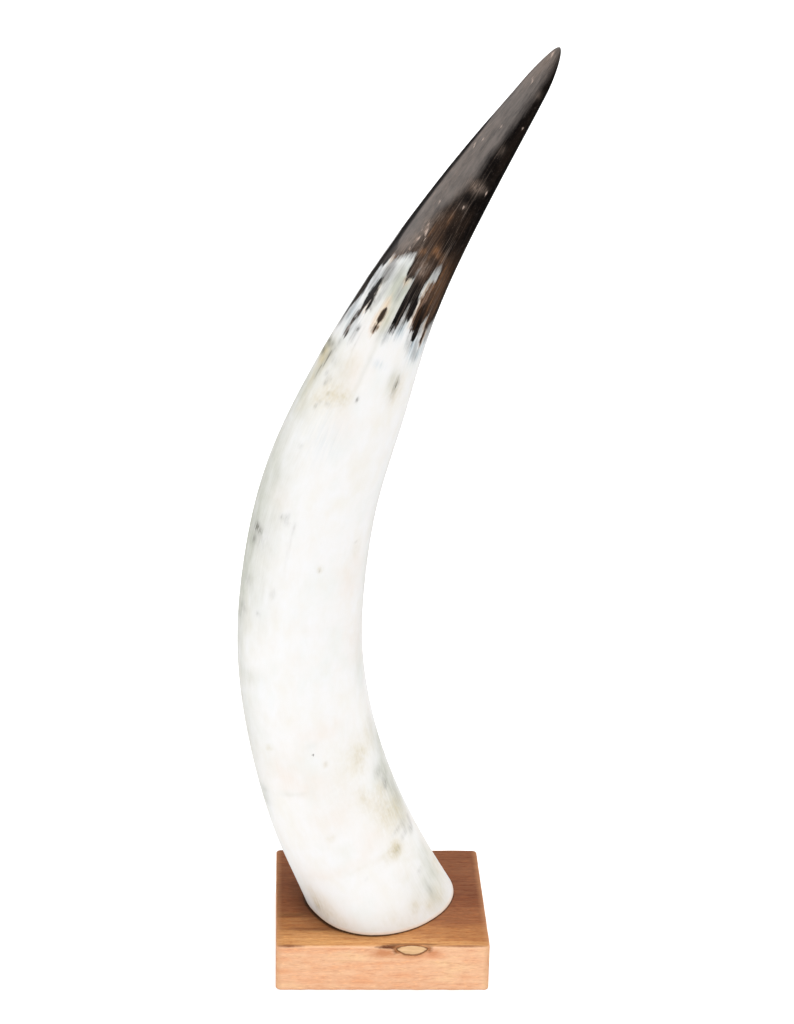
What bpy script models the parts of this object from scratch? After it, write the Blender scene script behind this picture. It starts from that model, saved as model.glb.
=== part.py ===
"""A cow horn standing on a square wooden block.

Metres, +Z up. The origin is the middle of the block's underside, +X points right and +Y points
away from the front. The horn leans left from its foot and sweeps up and right to its tip.
"""

import math

import bmesh
import bpy
import numpy as np
from mathutils import Matrix, Vector

MM = 0.001
PART_NAME = "cow_horn_on_stand"

# Clearance between pieces that touch
FIT_GAP = 0.3 * MM

# Wooden block: planed square, corners rounded and arrises eased
BLOCK_SIDE = 150 * MM
BLOCK_HEIGHT = 35 * MM
BLOCK_CORNER_RADIUS = 3.5 * MM
BLOCK_ARRIS = 1.0 * MM

# Horn: guides that pull a smooth curve, evenly spaced in height from below the saw cut to
# above the tip. Each row is in millimetres: x, y, half width, half depth of the oval section.
GUIDE_LOWEST = -85 * MM
GUIDE_RISE = 62 * MM
HORN_GUIDES = (
    (65.5, 3.0, 64.5, 68.0),
    (28.5, 3.0, 52.5, 66.0),
    (-3.5, 5.0, 45.5, 63.0),
    (-34.0, 8.0, 45.5, 59.5),
    (-52.5, 11.0, 44.0, 56.0),
    (-62.0, 13.0, 44.0, 52.5),
    (-58.0, 13.0, 43.0, 49.5),
    (-48.0, 11.0, 41.0, 46.0),
    (-24.5, 6.5, 37.0, 40.5),
    (-2.0, 0.0, 27.5, 30.0),
    (29.5, -8.0, 21.0, 22.5),
    (65.5, -16.0, 14.0, 15.0),
    (105.0, -25.0, 5.0, 5.5),
    (127.0, -34.0, 0.0, 0.5),
)
# The oval sections are turned at the foot, as a horn grows with a slight twist
FOOT_TURN = math.radians(-13)
TIP_DOME_HEIGHT = 27 * MM
FOOT_CUT_HEIGHT = BLOCK_HEIGHT + FIT_GAP
DARK_TIP_HEIGHT = 470 * MM

# Rings along the horn and over its rounded tip, and points round each ring
BODY_RINGS = 66
DOME_RINGS = 6
RING_POINTS = 44
# Where the first ring lies along the horn, low enough for the saw cut to pass above all of it
LOWEST_RING = 0.03

# Wood screws, driven up through the block into the horn's foot
SCREW_PLACES = (("fixing_screw_front", -5 * MM, -20 * MM), ("fixing_screw_back", -5 * MM, 30 * MM))
SCREW_LENGTH = 58 * MM
SCREW_HEAD_RADIUS = 4.75 * MM
SCREW_HEAD_RIM = 0.5 * MM
SCREW_SHANK_RADIUS = 2.5 * MM
SCREW_POINT_LENGTH = 5 * MM
SCREW_HEAD_RECESS = 1.5 * MM
SCREW_SIDES = 24
CROSS_LENGTH = 4.6 * MM
CROSS_WIDTH = 1.1 * MM
CROSS_DEPTH = 1.8 * MM

# Colours, as linear red, green and blue
PALE_HORN = (0.90, 0.88, 0.84)
DARK_HORN = (0.030, 0.025, 0.023)
OILED_WOOD = (0.45, 0.20, 0.085)
SCREW_STEEL = (0.55, 0.55, 0.55)


def clear_scene():
    for thing in list(bpy.data.objects):
        bpy.data.objects.remove(thing, do_unlink=True)


def new_collection(name):
    collection = bpy.data.collections.new(name)
    bpy.context.scene.collection.children.link(collection)
    return collection


def new_material(name, colour, roughness, metallic=0.0):
    material = bpy.data.materials.new(name)
    material.use_nodes = True
    shader = material.node_tree.nodes["Principled BSDF"]
    shader.inputs["Base Color"].default_value = (*colour, 1.0)
    shader.inputs["Roughness"].default_value = roughness
    shader.inputs["Metallic"].default_value = metallic
    return material


def new_piece(name, mesh, collection, *materials):
    """Put a mesh in the scene as one named piece with its materials."""
    for material in materials:
        mesh.materials.append(material)
    piece = bpy.data.objects.new(name, mesh)
    collection.objects.link(piece)
    return piece


def mark_as_cutter(piece):
    piece.hide_render = True
    piece.display_type = "WIRE"


def cut_with(piece, cutter):
    cut = piece.modifiers.new("cut_" + cutter.name, "BOOLEAN")
    cut.operation = "DIFFERENCE"
    cut.solver = "EXACT"
    cut.object = cutter


def guide_table():
    """The horn's guides in metres: x, y, z, half width, half depth."""
    rows = []
    for index, (x, y, half_width, half_depth) in enumerate(HORN_GUIDES):
        height = GUIDE_LOWEST + index * GUIDE_RISE
        rows.append((x * MM, y * MM, height, half_width * MM, half_depth * MM))
    return np.array(rows)


def horn_at(guides, t):
    """Read the horn at t, 0 below the foot and 1 at the tip, from a cubic B-spline."""
    spans = len(guides) - 3
    first = min(max(int(t * spans), 0), spans - 1)
    u = t * spans - first
    shares = np.array((
        (1 - u) ** 3,
        3 * u**3 - 6 * u**2 + 4,
        -3 * u**3 + 3 * u**2 + 3 * u + 1,
        u**3,
    ))
    return shares @ guides[first:first + 4] / 6


def ring_matrix(guides, t, taper):
    """Place a unit circle as the horn's oval section at t, square to its run, shrunk by taper."""
    nearby = 0.001
    x, y, z, half_width, half_depth = horn_at(guides, t)
    run = horn_at(guides, t + nearby) - horn_at(guides, t - nearby)
    tangent = Vector(run[:3]).normalized()
    away = Vector((0, 1, 0))
    depth_axis = (away - tangent * away.dot(tangent)).normalized()
    side_axis = depth_axis.cross(tangent)
    turn = Matrix.Rotation(FOOT_TURN * (1 - t), 3, tangent)
    side_axis = turn @ side_axis
    depth_axis = turn @ depth_axis
    columns = (side_axis * half_width * taper, depth_axis * half_depth * taper, tangent)
    return Matrix.Translation((x, y, z)) @ Matrix(columns).transposed().to_4x4()


def horn_rings(guides):
    """List each ring's place along the horn and its taper, foot to tip."""
    dome = TIP_DOME_HEIGHT / (GUIDE_RISE * (len(guides) - 3))
    body = [(t, 1.0) for t in np.linspace(LOWEST_RING, 1 - dome, BODY_RINGS)]
    tip = []
    blunt_end = 0.6
    for index in range(1, DOME_RINGS + 1):
        climb = math.radians(90) * index / (DOME_RINGS + blunt_end)
        tip.append((1 - dome * (1 - math.sin(climb)), math.cos(climb)))
    return body + tip


def add_horn(collection, pale, dark, cutters):
    """Loft the oval sections, saw the foot level and bore it for the screws."""
    guides = guide_table()
    shape = bmesh.new()
    rings = []
    for t, taper in horn_rings(guides):
        made = bmesh.ops.create_circle(
            shape, segments=RING_POINTS, radius=1.0, matrix=ring_matrix(guides, t, taper)
        )
        rings.append({edge for vert in made["verts"] for edge in vert.link_edges})
    for lower, upper in zip(rings, rings[1:]):
        bmesh.ops.bridge_loops(shape, edges=list(lower | upper))
    bmesh.ops.contextual_create(shape, geom=list(rings[-1]))

    everything = shape.verts[:] + shape.edges[:] + shape.faces[:]
    bmesh.ops.bisect_plane(
        shape, geom=everything, dist=0.01 * MM,
        plane_co=(0, 0, FOOT_CUT_HEIGHT), plane_no=(0, 0, 1), clear_inner=True,
    )
    cut_edges = [edge for edge in shape.edges if edge.is_boundary]
    bmesh.ops.contextual_create(shape, geom=cut_edges)
    bmesh.ops.remove_doubles(shape, verts=shape.verts, dist=0.1 * MM)
    bmesh.ops.recalc_face_normals(shape, faces=shape.faces)
    for face in shape.faces:
        face.material_index = int(face.calc_center_median().z > DARK_TIP_HEIGHT)

    mesh = bpy.data.meshes.new("horn")
    shape.to_mesh(mesh)
    shape.free()
    mesh.shade_smooth()
    mesh.set_sharp_from_angle(angle=math.radians(50))
    horn = new_piece("horn", mesh, collection, pale, dark)
    for cutter in cutters:
        cut_with(horn, cutter)
    return horn


def add_block(collection, wood, cutters):
    """Make the square block: upright corners rounded first, then every sharp arris eased."""
    shape = bmesh.new()
    size = Matrix.Diagonal((BLOCK_SIDE, BLOCK_SIDE, BLOCK_HEIGHT, 1))
    lift = Matrix.Translation((0, 0, BLOCK_HEIGHT / 2))
    bmesh.ops.create_cube(shape, size=1.0, matrix=lift @ size)
    upright = []
    for edge in shape.edges:
        run = edge.verts[1].co - edge.verts[0].co
        if abs(run.z) > BLOCK_HEIGHT / 2:
            upright.append(edge)
    bmesh.ops.bevel(
        shape, geom=upright, offset=BLOCK_CORNER_RADIUS, segments=5, profile=0.5, affect="EDGES"
    )
    mesh = bpy.data.meshes.new("base_block")
    shape.to_mesh(mesh)
    shape.free()
    block = new_piece("base_block", mesh, collection, wood)

    easing = block.modifiers.new("eased_arris", "BEVEL")
    easing.width = BLOCK_ARRIS
    easing.segments = 2
    easing.limit_method = "ANGLE"
    easing.angle_limit = math.radians(60)
    for cutter in cutters:
        cut_with(block, cutter)
    mesh.shade_smooth()
    mesh.set_sharp_from_angle(angle=math.radians(30))
    return block


def add_turned(name, profile, x, y, collection, *materials):
    """Turn a profile of radius and height pairs, listed top to bottom, about an upright axis."""
    mesh = bpy.data.meshes.new(name)
    points = [(radius, 0, height) for radius, height in profile]
    edges = [(index, index + 1) for index in range(len(points) - 1)]
    mesh.from_pydata(points, edges, [])
    piece = new_piece(name, mesh, collection, *materials)
    piece.location = (x, y, 0)
    turning = piece.modifiers.new("turned", "SCREW")
    turning.axis = "Z"
    turning.steps = SCREW_SIDES
    turning.render_steps = SCREW_SIDES
    turning.use_merge_vertices = True
    turning.merge_threshold = 0.05 * MM
    return piece


def screw_profile(gap, lowest):
    """A countersunk wood screw's outline, point upwards, grown by gap and opened down to lowest."""
    head = SCREW_HEAD_RADIUS + gap
    shank = SCREW_SHANK_RADIUS + gap
    neck_height = SCREW_HEAD_RECESS + SCREW_HEAD_RIM + SCREW_HEAD_RADIUS - SCREW_SHANK_RADIUS
    top = SCREW_HEAD_RECESS + SCREW_LENGTH
    return (
        (0, top + gap),
        (shank, top - SCREW_POINT_LENGTH + gap),
        (shank, neck_height),
        (head, SCREW_HEAD_RECESS + SCREW_HEAD_RIM),
        (head, lowest),
        (0, lowest),
    )


def add_screw_clearance(name, x, y, collection):
    below_block = -5 * MM
    cutter = add_turned(name, screw_profile(FIT_GAP, below_block), x, y, collection)
    mark_as_cutter(cutter)
    return cutter


def add_cross_bar(name, x, y, across, collection):
    """One bar of the screwdriver's cross."""
    lengths = (CROSS_WIDTH, CROSS_LENGTH) if across else (CROSS_LENGTH, CROSS_WIDTH)
    shape = bmesh.new()
    size = Matrix.Diagonal((*lengths, 2 * CROSS_DEPTH, 1))
    bmesh.ops.create_cube(shape, size=1.0, matrix=size)
    mesh = bpy.data.meshes.new(name)
    shape.to_mesh(mesh)
    shape.free()
    cutter = new_piece(name, mesh, collection)
    cutter.location = (x, y, SCREW_HEAD_RECESS)
    mark_as_cutter(cutter)
    return cutter


def add_screw(name, x, y, collection, steel, cutters):
    """A wood screw with its head just inside the underside and its point in the horn."""
    profile = screw_profile(0, SCREW_HEAD_RECESS)
    screw = add_turned(name, profile, x, y, collection, steel)
    cut_with(screw, add_cross_bar(name + "_bar_along", x, y, False, cutters))
    cut_with(screw, add_cross_bar(name + "_bar_across", x, y, True, cutters))
    return screw


def build():
    clear_scene()
    parts = new_collection(PART_NAME)
    cutters = new_collection("cutters")

    pale = new_material("pale_horn", PALE_HORN, 0.32)
    dark = new_material("dark_horn", DARK_HORN, 0.25)
    wood = new_material("oiled_wood", OILED_WOOD, 0.5)
    steel = new_material("screw_steel", SCREW_STEEL, 0.35, metallic=1.0)

    clearances = []
    for name, x, y in SCREW_PLACES:
        clearances.append(add_screw_clearance(name + "_clearance", x, y, cutters))
        add_screw(name, x, y, parts, steel, cutters)
    add_block(parts, wood, clearances)
    add_horn(parts, pale, dark, clearances)


build()
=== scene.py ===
# %% [markdown]
# # A cow horn on a wooden block
#
# The object is a polished cow horn, about two thirds of a metre long, that is sawn level at the
# foot and screwed to a square block of hardwood. This lesson gives it its looks around the packed
# CAD model. The CAD model is loaded first and is never changed: the pieces made here stand in
# for its plain solids, at the same place and size.

# %% Load the fixed frame
import math

import bmesh
import bpy
import numpy as np
from mathutils import Matrix, Vector


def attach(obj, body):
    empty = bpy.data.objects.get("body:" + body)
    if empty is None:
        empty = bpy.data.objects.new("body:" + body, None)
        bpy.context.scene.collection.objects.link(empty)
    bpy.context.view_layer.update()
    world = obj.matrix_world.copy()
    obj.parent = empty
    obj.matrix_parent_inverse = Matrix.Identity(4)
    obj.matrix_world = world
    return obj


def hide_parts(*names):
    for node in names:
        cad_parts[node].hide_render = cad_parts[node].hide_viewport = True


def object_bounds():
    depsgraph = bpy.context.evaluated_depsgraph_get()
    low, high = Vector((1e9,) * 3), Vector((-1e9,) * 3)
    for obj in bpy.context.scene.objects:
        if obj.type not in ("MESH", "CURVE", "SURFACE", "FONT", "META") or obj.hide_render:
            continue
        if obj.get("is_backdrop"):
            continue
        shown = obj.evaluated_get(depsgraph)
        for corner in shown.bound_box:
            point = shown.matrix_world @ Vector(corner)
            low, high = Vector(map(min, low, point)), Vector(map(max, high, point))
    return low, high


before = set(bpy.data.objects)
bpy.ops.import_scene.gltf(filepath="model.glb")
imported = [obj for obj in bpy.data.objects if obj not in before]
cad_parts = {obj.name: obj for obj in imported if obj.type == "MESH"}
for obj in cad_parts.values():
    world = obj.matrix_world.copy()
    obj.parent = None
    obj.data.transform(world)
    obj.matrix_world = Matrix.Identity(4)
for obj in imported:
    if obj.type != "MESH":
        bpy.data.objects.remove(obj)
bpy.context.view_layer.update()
MM = 0.001
print("nodes:", sorted(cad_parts))

# %% [markdown]
# ## Helpers
#
# Every node tree below is built with one function: it adds a node, changes its settings and fills
# its inputs, either in order or by name. An input takes a plain value, another node or one of its
# sockets. Colours are written as sRGB hex values, as a paint program shows them, and a second
# function turns them into the linear values that Blender calculates with. Horn and wood share a
# few steps: a set of noises with sizes in real millimetres, the distance to a spot, a tint laid
# over a colour, and the start and end of a material.


# %% Helpers for nodes and colours
def add(tree, kind, inputs=(), **settings):
    """Add a node with its settings, and fill its inputs in order or by name."""
    node = tree.nodes.new(kind)
    node.location = (190 * (len(tree.nodes) % 12), -260 * (len(tree.nodes) // 12))
    for name, value in settings.items():
        setattr(node, name, value)
    open_inputs = [socket for socket in node.inputs if socket.enabled]
    if isinstance(inputs, dict):
        chosen = [next(s for s in open_inputs if s.name == name) for name in inputs]
        values = list(inputs.values())
    else:
        chosen, values = open_inputs, list(inputs)
    for socket, value in zip(chosen, values):
        if isinstance(value, bpy.types.Node):
            value = next(s for s in value.outputs if s.enabled)
        if isinstance(value, bpy.types.NodeSocket):
            tree.links.new(value, socket)
        elif value is not None:
            socket.default_value = value
    return node


def srgb(code):
    """Turn a hex colour such as "#F0EFEC" into linear red, green, blue and alpha."""
    channels = [int(code[i:i + 2], 16) / 255 for i in (1, 3, 5)]
    linear = [c / 12.92 if c <= 0.04045 else ((c + 0.055) / 1.055) ** 2.4 for c in channels]
    return (*linear, 1.0)


print("white horn is linear", [round(c, 3) for c in srgb("#F0EFEC")])


# %% Helpers for patterns, tints and materials
def make_noises(tree, place, sizes_and_details, apart, roughness):
    """A noise for each name, stretched to its sizes and moved apart from the one before."""
    made = {}
    for name, (sizes, detail) in sizes_and_details.items():
        stretch = tuple(1 / size for size in sizes)
        scaled = add(tree, "ShaderNodeVectorMath", (place, stretch), operation="MULTIPLY")
        shift = (apart[0] * len(made), *apart[1:])
        shifted = add(tree, "ShaderNodeVectorMath", (scaled, shift))
        made[name] = add(tree, "ShaderNodeTexNoise", {
            "Vector": shifted, "Scale": 1.0, "Detail": detail, "Roughness": roughness})
    return made


def gap_to(tree, place, middle, sizes):
    """How far a place is from the middle of a spot, counted in the spot's sizes."""
    stretch = tuple(1 / size for size in sizes)
    centre = tuple(at / size for at, size in zip(middle, sizes))
    scaled = add(tree, "ShaderNodeVectorMath", (place, stretch), operation="MULTIPLY")
    gap = add(tree, "ShaderNodeVectorMath", (scaled, centre), operation="DISTANCE")
    return gap.outputs["Value"]


def lay_over(tree, under, pattern, start, full, amount, tint):
    """Lay a tint over a colour, from where the pattern starts to where it is full."""
    share = add(tree, "ShaderNodeMapRange", (pattern, start, full, 0.0, amount))
    return add(tree, "ShaderNodeMix", (share, under, srgb(tint)), data_type="RGBA")


def start_finish(name):
    """A new material whose node tree is still empty."""
    finish = bpy.data.materials.new(name)
    finish.use_nodes = True
    finish.node_tree.nodes.clear()
    return finish


def end_finish(finish, looks):
    """Give a material its shader, with its looks by name, and its output."""
    shader = add(finish.node_tree, "ShaderNodeBsdfPrincipled", looks)
    add(finish.node_tree, "ShaderNodeOutputMaterial", (shader,))
    print(finish.name, "has", len(finish.node_tree.nodes), "nodes")


def show(name, data):
    """Make an object of its data and put it in the scene."""
    made = bpy.data.objects.new(name, data)
    bpy.context.scene.collection.objects.link(made)
    return made


print("the helpers are ready")

# %% [markdown]
# ## The horn's guides
#
# A horn grows in a spiral, so its curve and its thickness change smoothly from foot to tip. A few
# guide points pull such a curve, as battens pull a boat's plank. Each guide has a place and the
# half width and half depth of the oval section there. They are the same guides as in the CAD
# source, so the shape comes out the same, only with many more faces.

# %% Guide points as a small mesh
HORN_GUIDES = (
    # x, y, half width and half depth in mm
    (65.5, 3.0, 64.5, 68.0),
    (28.5, 3.0, 52.5, 66.0),
    (-3.5, 5.0, 45.5, 63.0),
    (-34.0, 8.0, 45.5, 59.5),
    (-52.5, 11.0, 44.0, 56.0),
    (-62.0, 13.0, 44.0, 52.5),
    (-58.0, 13.0, 43.0, 49.5),
    (-48.0, 11.0, 41.0, 46.0),
    (-24.5, 6.5, 37.0, 40.5),
    (-2.0, 0.0, 27.5, 30.0),
    (29.5, -8.0, 21.0, 22.5),
    (65.5, -16.0, 14.0, 15.0),
    (105.0, -25.0, 5.0, 5.5),
    (127.0, -34.0, 0.0, 0.5),
)
GUIDE_LOWEST = -85 * MM
GUIDE_RISE = 62 * MM
# A smooth curve through guides starts at the second one and ends at the last but one
CURVE_LOWEST = GUIDE_LOWEST + GUIDE_RISE
CURVE_HIGHEST = GUIDE_LOWEST + GUIDE_RISE * (len(HORN_GUIDES) - 2)

guide_points = []
guide_sections = []
for index, (x, y, half_width, half_depth) in enumerate(HORN_GUIDES):
    guide_points.append((x * MM, y * MM, GUIDE_LOWEST + index * GUIDE_RISE))
    guide_sections.extend((half_width * MM, half_depth * MM, 0))

guide_mesh = bpy.data.meshes.new("horn_guides")
guide_mesh.from_pydata(guide_points, [(i, i + 1) for i in range(len(guide_points) - 1)], [])
section = guide_mesh.attributes.new("section", "FLOAT_VECTOR", "POINT")
section.data.foreach_set("vector", guide_sections)
print("curve runs from", round(CURVE_LOWEST / MM), "to", round(CURVE_HIGHEST / MM), "mm in height")

# %% [markdown]
# ## The horn as Geometry Nodes
#
# The horn's shape follows a rule, so nodes suit it well: draw a smooth curve through the guides,
# take a flat grid with one row for each ring, and send each grid point to its place on the oval
# section round the curve. The rings are closer together near the tip, where a small dome closes
# the horn. The tree keeps a map of the surface in an attribute: two numbers go round the horn and
# the third is the distance in mm along it from the saw cut. Patterns that read this map follow the
# horn's fibres and have no seam. Last, the tree lifts and lowers the surface a little: a scraped
# and polished horn is never quite even, near its foot the growth rings can still be felt, and in
# a few places the scraper has left a shallow hollow.

# %% Start the horn's tree
MAP_RADIUS = 40.0     # mm, about half the horn's thickness
HORN_TREE_INPUTS = (
    ("Guides", "NodeSocketGeometry", None),
    ("Rings", "NodeSocketInt", 470),
    ("Points round", "NodeSocketInt", 181),
    ("Foot turn", "NodeSocketFloat", math.radians(-13)),
    ("Lowest", "NodeSocketFloat", CURVE_LOWEST),
    ("Highest", "NodeSocketFloat", CURVE_HIGHEST),
    ("Tip dome height", "NodeSocketFloat", 27 * MM),
    ("Length from cut", "NodeSocketFloat", 672 * MM),
    ("Map radius", "NodeSocketFloat", MAP_RADIUS),
    ("Dent depth", "NodeSocketFloat", 0.5 * MM),
    ("Ripple depth", "NodeSocketFloat", 0.22 * MM),
    ("Scuff depth", "NodeSocketFloat", 0.45 * MM),
    ("Horn", "NodeSocketMaterial", None),
)

horn_tree = bpy.data.node_groups.new("horn_from_guides", "GeometryNodeTree")
for name, kind, value in HORN_TREE_INPUTS:
    socket = horn_tree.interface.new_socket(name=name, in_out="INPUT", socket_type=kind)
    if value is not None:
        socket.default_value = value
horn_tree.interface.new_socket(name="Geometry", in_out="OUTPUT", socket_type="NodeSocketGeometry")
given = add(horn_tree, "NodeGroupInput").outputs
print("the tree has", len(HORN_TREE_INPUTS), "inputs")

# %% Curve and grid
mesh_line = add(horn_tree, "GeometryNodeMeshToCurve", {"Mesh": given["Guides"]})
smooth = add(horn_tree, "GeometryNodeCurveSplineType", {"Curve": mesh_line}, spline_type="NURBS")
# Knot mode 0 spaces the pull of the guides evenly, so that the curve's height grows evenly too
even_knots = add(horn_tree, "GeometryNodeStoreNamedAttribute",
                 {"Geometry": smooth, "Name": "knots_mode", "Value": 0},
                 data_type="INT8", domain="CURVE")
curve = add(horn_tree, "GeometryNodeSetSplineResolution",
            {"Geometry": even_knots, "Resolution": 40})
length = add(horn_tree, "GeometryNodeCurveLength", (curve,))
grid = add(horn_tree, "GeometryNodeMeshGrid", {
    "Size X": 1.0, "Size Y": 1.0,
    "Vertices X": given["Rings"], "Vertices Y": given["Points round"],
})

# The grid lies between -0.5 and 0.5: X says how far up the horn, Y how far round it
CROWDING = 1.6         # above 1, the rings lie closer together near the tip
LOFTED_SHARE = 0.965   # share of the curve, from the tip down, that the rings cover
flat = add(horn_tree, "ShaderNodeSeparateXYZ", (add(horn_tree, "GeometryNodeInputPosition"),))
left = add(horn_tree, "ShaderNodeMath", (0.5, flat.outputs["X"]), operation="SUBTRACT")
closer = add(horn_tree, "ShaderNodeMath", (left, CROWDING), operation="POWER")
below = add(horn_tree, "ShaderNodeMath", (closer, LOFTED_SHARE), operation="MULTIPLY")
factor = add(horn_tree, "ShaderNodeMath", (1.0, below), operation="SUBTRACT")
turned = add(horn_tree, "ShaderNodeMath", (flat.outputs["Y"], math.tau, -math.pi / 2),
             operation="MULTIPLY_ADD")
cosine = add(horn_tree, "ShaderNodeMath", (turned,), operation="COSINE")
sine = add(horn_tree, "ShaderNodeMath", (turned,), operation="SINE")

# %% Oval section round the curve
size = add(horn_tree, "GeometryNodeInputNamedAttribute", ("section",), data_type="FLOAT_VECTOR")
sample = add(horn_tree, "GeometryNodeSampleCurve", {
    "Curves": curve, "Value": size, "Factor": factor,
}, mode="FACTOR", data_type="FLOAT_VECTOR")
middle, tangent = sample.outputs["Position"], sample.outputs["Tangent"]
half = add(horn_tree, "ShaderNodeSeparateXYZ", (sample.outputs["Value"],))
height = add(horn_tree, "ShaderNodeSeparateXYZ", (middle,)).outputs["Z"]
t = add(horn_tree, "ShaderNodeMapRange", (height, given["Lowest"], given["Highest"]))

away = add(horn_tree, "ShaderNodeVectorMath", ((0, 1, 0), tangent), operation="DOT_PRODUCT")
leaning = add(horn_tree, "ShaderNodeVectorMath",
              {"Vector": tangent, "Scale": away.outputs["Value"]}, operation="SCALE")
square = add(horn_tree, "ShaderNodeVectorMath", ((0, 1, 0), leaning), operation="SUBTRACT")
depth_axis = add(horn_tree, "ShaderNodeVectorMath", (square,), operation="NORMALIZE")
side_axis = add(horn_tree, "ShaderNodeVectorMath", (depth_axis, tangent), operation="CROSS_PRODUCT")

across = add(horn_tree, "ShaderNodeMath", (cosine, half.outputs["X"]), operation="MULTIPLY")
deep = add(horn_tree, "ShaderNodeMath", (sine, half.outputs["Y"]), operation="MULTIPLY")
to_side = add(horn_tree, "ShaderNodeVectorMath", {"Vector": side_axis, "Scale": across},
              operation="SCALE")
to_back = add(horn_tree, "ShaderNodeVectorMath", {"Vector": depth_axis, "Scale": deep},
              operation="SCALE")
oval = add(horn_tree, "ShaderNodeVectorMath", (to_side, to_back), operation="ADD")
untwisted = add(horn_tree, "ShaderNodeMath", (1.0, t), operation="SUBTRACT")
twist = add(horn_tree, "ShaderNodeMath", (untwisted, given["Foot turn"]), operation="MULTIPLY")
turned_oval = add(horn_tree, "ShaderNodeVectorRotate",
                  {"Vector": oval, "Axis": tangent, "Angle": twist})

# %% Rounded tip and map
run = add(horn_tree, "ShaderNodeMath", (given["Highest"], given["Lowest"]), operation="SUBTRACT")
dome = add(horn_tree, "ShaderNodeMath", (given["Tip dome height"], run), operation="DIVIDE")
short = add(horn_tree, "ShaderNodeMath", (untwisted, dome), operation="DIVIDE")
climb = add(horn_tree, "ShaderNodeMath", (1.0, short), operation="SUBTRACT", use_clamp=True)
climbed = add(horn_tree, "ShaderNodeMath", (climb, climb), operation="MULTIPLY")
left_over = add(horn_tree, "ShaderNodeMath", (1.0, climbed), operation="SUBTRACT", use_clamp=True)
taper = add(horn_tree, "ShaderNodeMath", (left_over,), operation="SQRT")
tapered = add(horn_tree, "ShaderNodeVectorMath", {"Vector": turned_oval, "Scale": taper},
              operation="SCALE")
place = add(horn_tree, "ShaderNodeVectorMath", (middle, tapered), operation="ADD")

from_tip = add(horn_tree, "ShaderNodeMath", (below, length), operation="MULTIPLY")
from_cut = add(horn_tree, "ShaderNodeMath", (given["Length from cut"], from_tip),
               operation="SUBTRACT")
map_x = add(horn_tree, "ShaderNodeMath", (cosine, given["Map radius"]), operation="MULTIPLY")
map_y = add(horn_tree, "ShaderNodeMath", (sine, given["Map radius"]), operation="MULTIPLY")
map_z = add(horn_tree, "ShaderNodeMath", (from_cut, 1 / MM), operation="MULTIPLY")
surface_map = add(horn_tree, "ShaderNodeCombineXYZ", (map_x, map_y, map_z))
mapped = add(horn_tree, "GeometryNodeStoreNamedAttribute",
             {"Geometry": grid, "Name": "horn_map", "Value": surface_map},
             data_type="FLOAT_VECTOR", domain="POINT")
lofted = add(horn_tree, "GeometryNodeSetPosition", {"Geometry": mapped, "Position": place})
merged = add(horn_tree, "GeometryNodeMergeByDistance",
             {"Geometry": lofted, "Distance": 0.002 * MM})
closed = add(horn_tree, "GeometryNodeFlipFaces", {"Mesh": merged})     # normals point outwards

# %% Relief of the surface
horn_map = add(horn_tree, "GeometryNodeInputNamedAttribute", ("horn_map",),
               data_type="FLOAT_VECTOR")
mm_up = add(horn_tree, "ShaderNodeSeparateXYZ", (horn_map,)).outputs["Z"]
mm_from_scuff = gap_to(horn_tree, horn_map, (39, -3, 60), (1, 1, 2))     # low on the right side
RELIEF_SIZES = {
    # input that gives the depth: size of the pattern in mm round and along, detail of the noise
    "Dent depth": ((22, 22, 70), 2.0),
    "Ripple depth": ((90, 90, 7), 2.0),
    "Scuff depth": ((7, 7, 12), 2.0),
}
RELIEF_PLACES = (
    # input that gives the depth, what is measured, and the mm from where and to where it grows
    ("Dent depth", mm_up, 660.0, 560.0),
    ("Ripple depth", mm_up, 120.0, 10.0),
    ("Scuff depth", mm_from_scuff, 34.0, 12.0),
)
HOLLOWS = (
    # angle round the horn, mm along it, reach round and along in mm of the map, and depth in mm,
    # below 0 where the horn stands out instead, as at its flared foot
    (-132, 42, 24, 52, 2.4), (0, 32, 22, 34, 0.7), (-82, -8, 40, 60, -3.2),
    (-95, 545, 13, 44, 0.7), (-150, 568, 12, 22, -0.35),
)
swell = make_noises(horn_tree, horn_map, RELIEF_SIZES, (0, 0, 0), 0.5)
lift = 0.0
for name, measured, start, full in RELIEF_PLACES:
    even = add(horn_tree, "ShaderNodeMath", (swell[name], 0.5), operation="SUBTRACT")
    dent = add(horn_tree, "ShaderNodeMath", (even, given[name]), operation="MULTIPLY")
    mask = add(horn_tree, "ShaderNodeMapRange", (measured, start, full),
               interpolation_type="SMOOTHSTEP")
    masked = add(horn_tree, "ShaderNodeMath", (dent, mask), operation="MULTIPLY")
    lift = add(horn_tree, "ShaderNodeMath", (lift, masked))
for angle, distance, round_reach, long_reach, depth in HOLLOWS:
    turn = math.radians(angle)
    middle_of_it = (MAP_RADIUS * math.cos(turn), MAP_RADIUS * math.sin(turn), distance)
    gap = gap_to(horn_tree, horn_map, middle_of_it, (round_reach, round_reach, long_reach))
    pressed = add(horn_tree, "ShaderNodeMapRange", (gap, 1.0, 0.0, 0.0, -depth * MM),
                  interpolation_type="SMOOTHSTEP")
    lift = add(horn_tree, "ShaderNodeMath", (lift, pressed))
normal = add(horn_tree, "GeometryNodeInputNormal")
offset = add(horn_tree, "ShaderNodeVectorMath", {"Vector": normal, "Scale": lift},
             operation="SCALE")
scraped_horn = add(horn_tree, "GeometryNodeSetPosition", {"Geometry": closed, "Offset": offset})
smooth_faces = add(horn_tree, "GeometryNodeSetShadeSmooth", {"Geometry": scraped_horn})
real = add(horn_tree, "GeometryNodeRealizeInstances", (smooth_faces,))
finished = add(horn_tree, "GeometryNodeSetMaterial",
               {"Geometry": real, "Material": given["Horn"]})
add(horn_tree, "NodeGroupOutput", (finished,))
print("the horn's tree has", len(horn_tree.nodes), "nodes")


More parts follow.
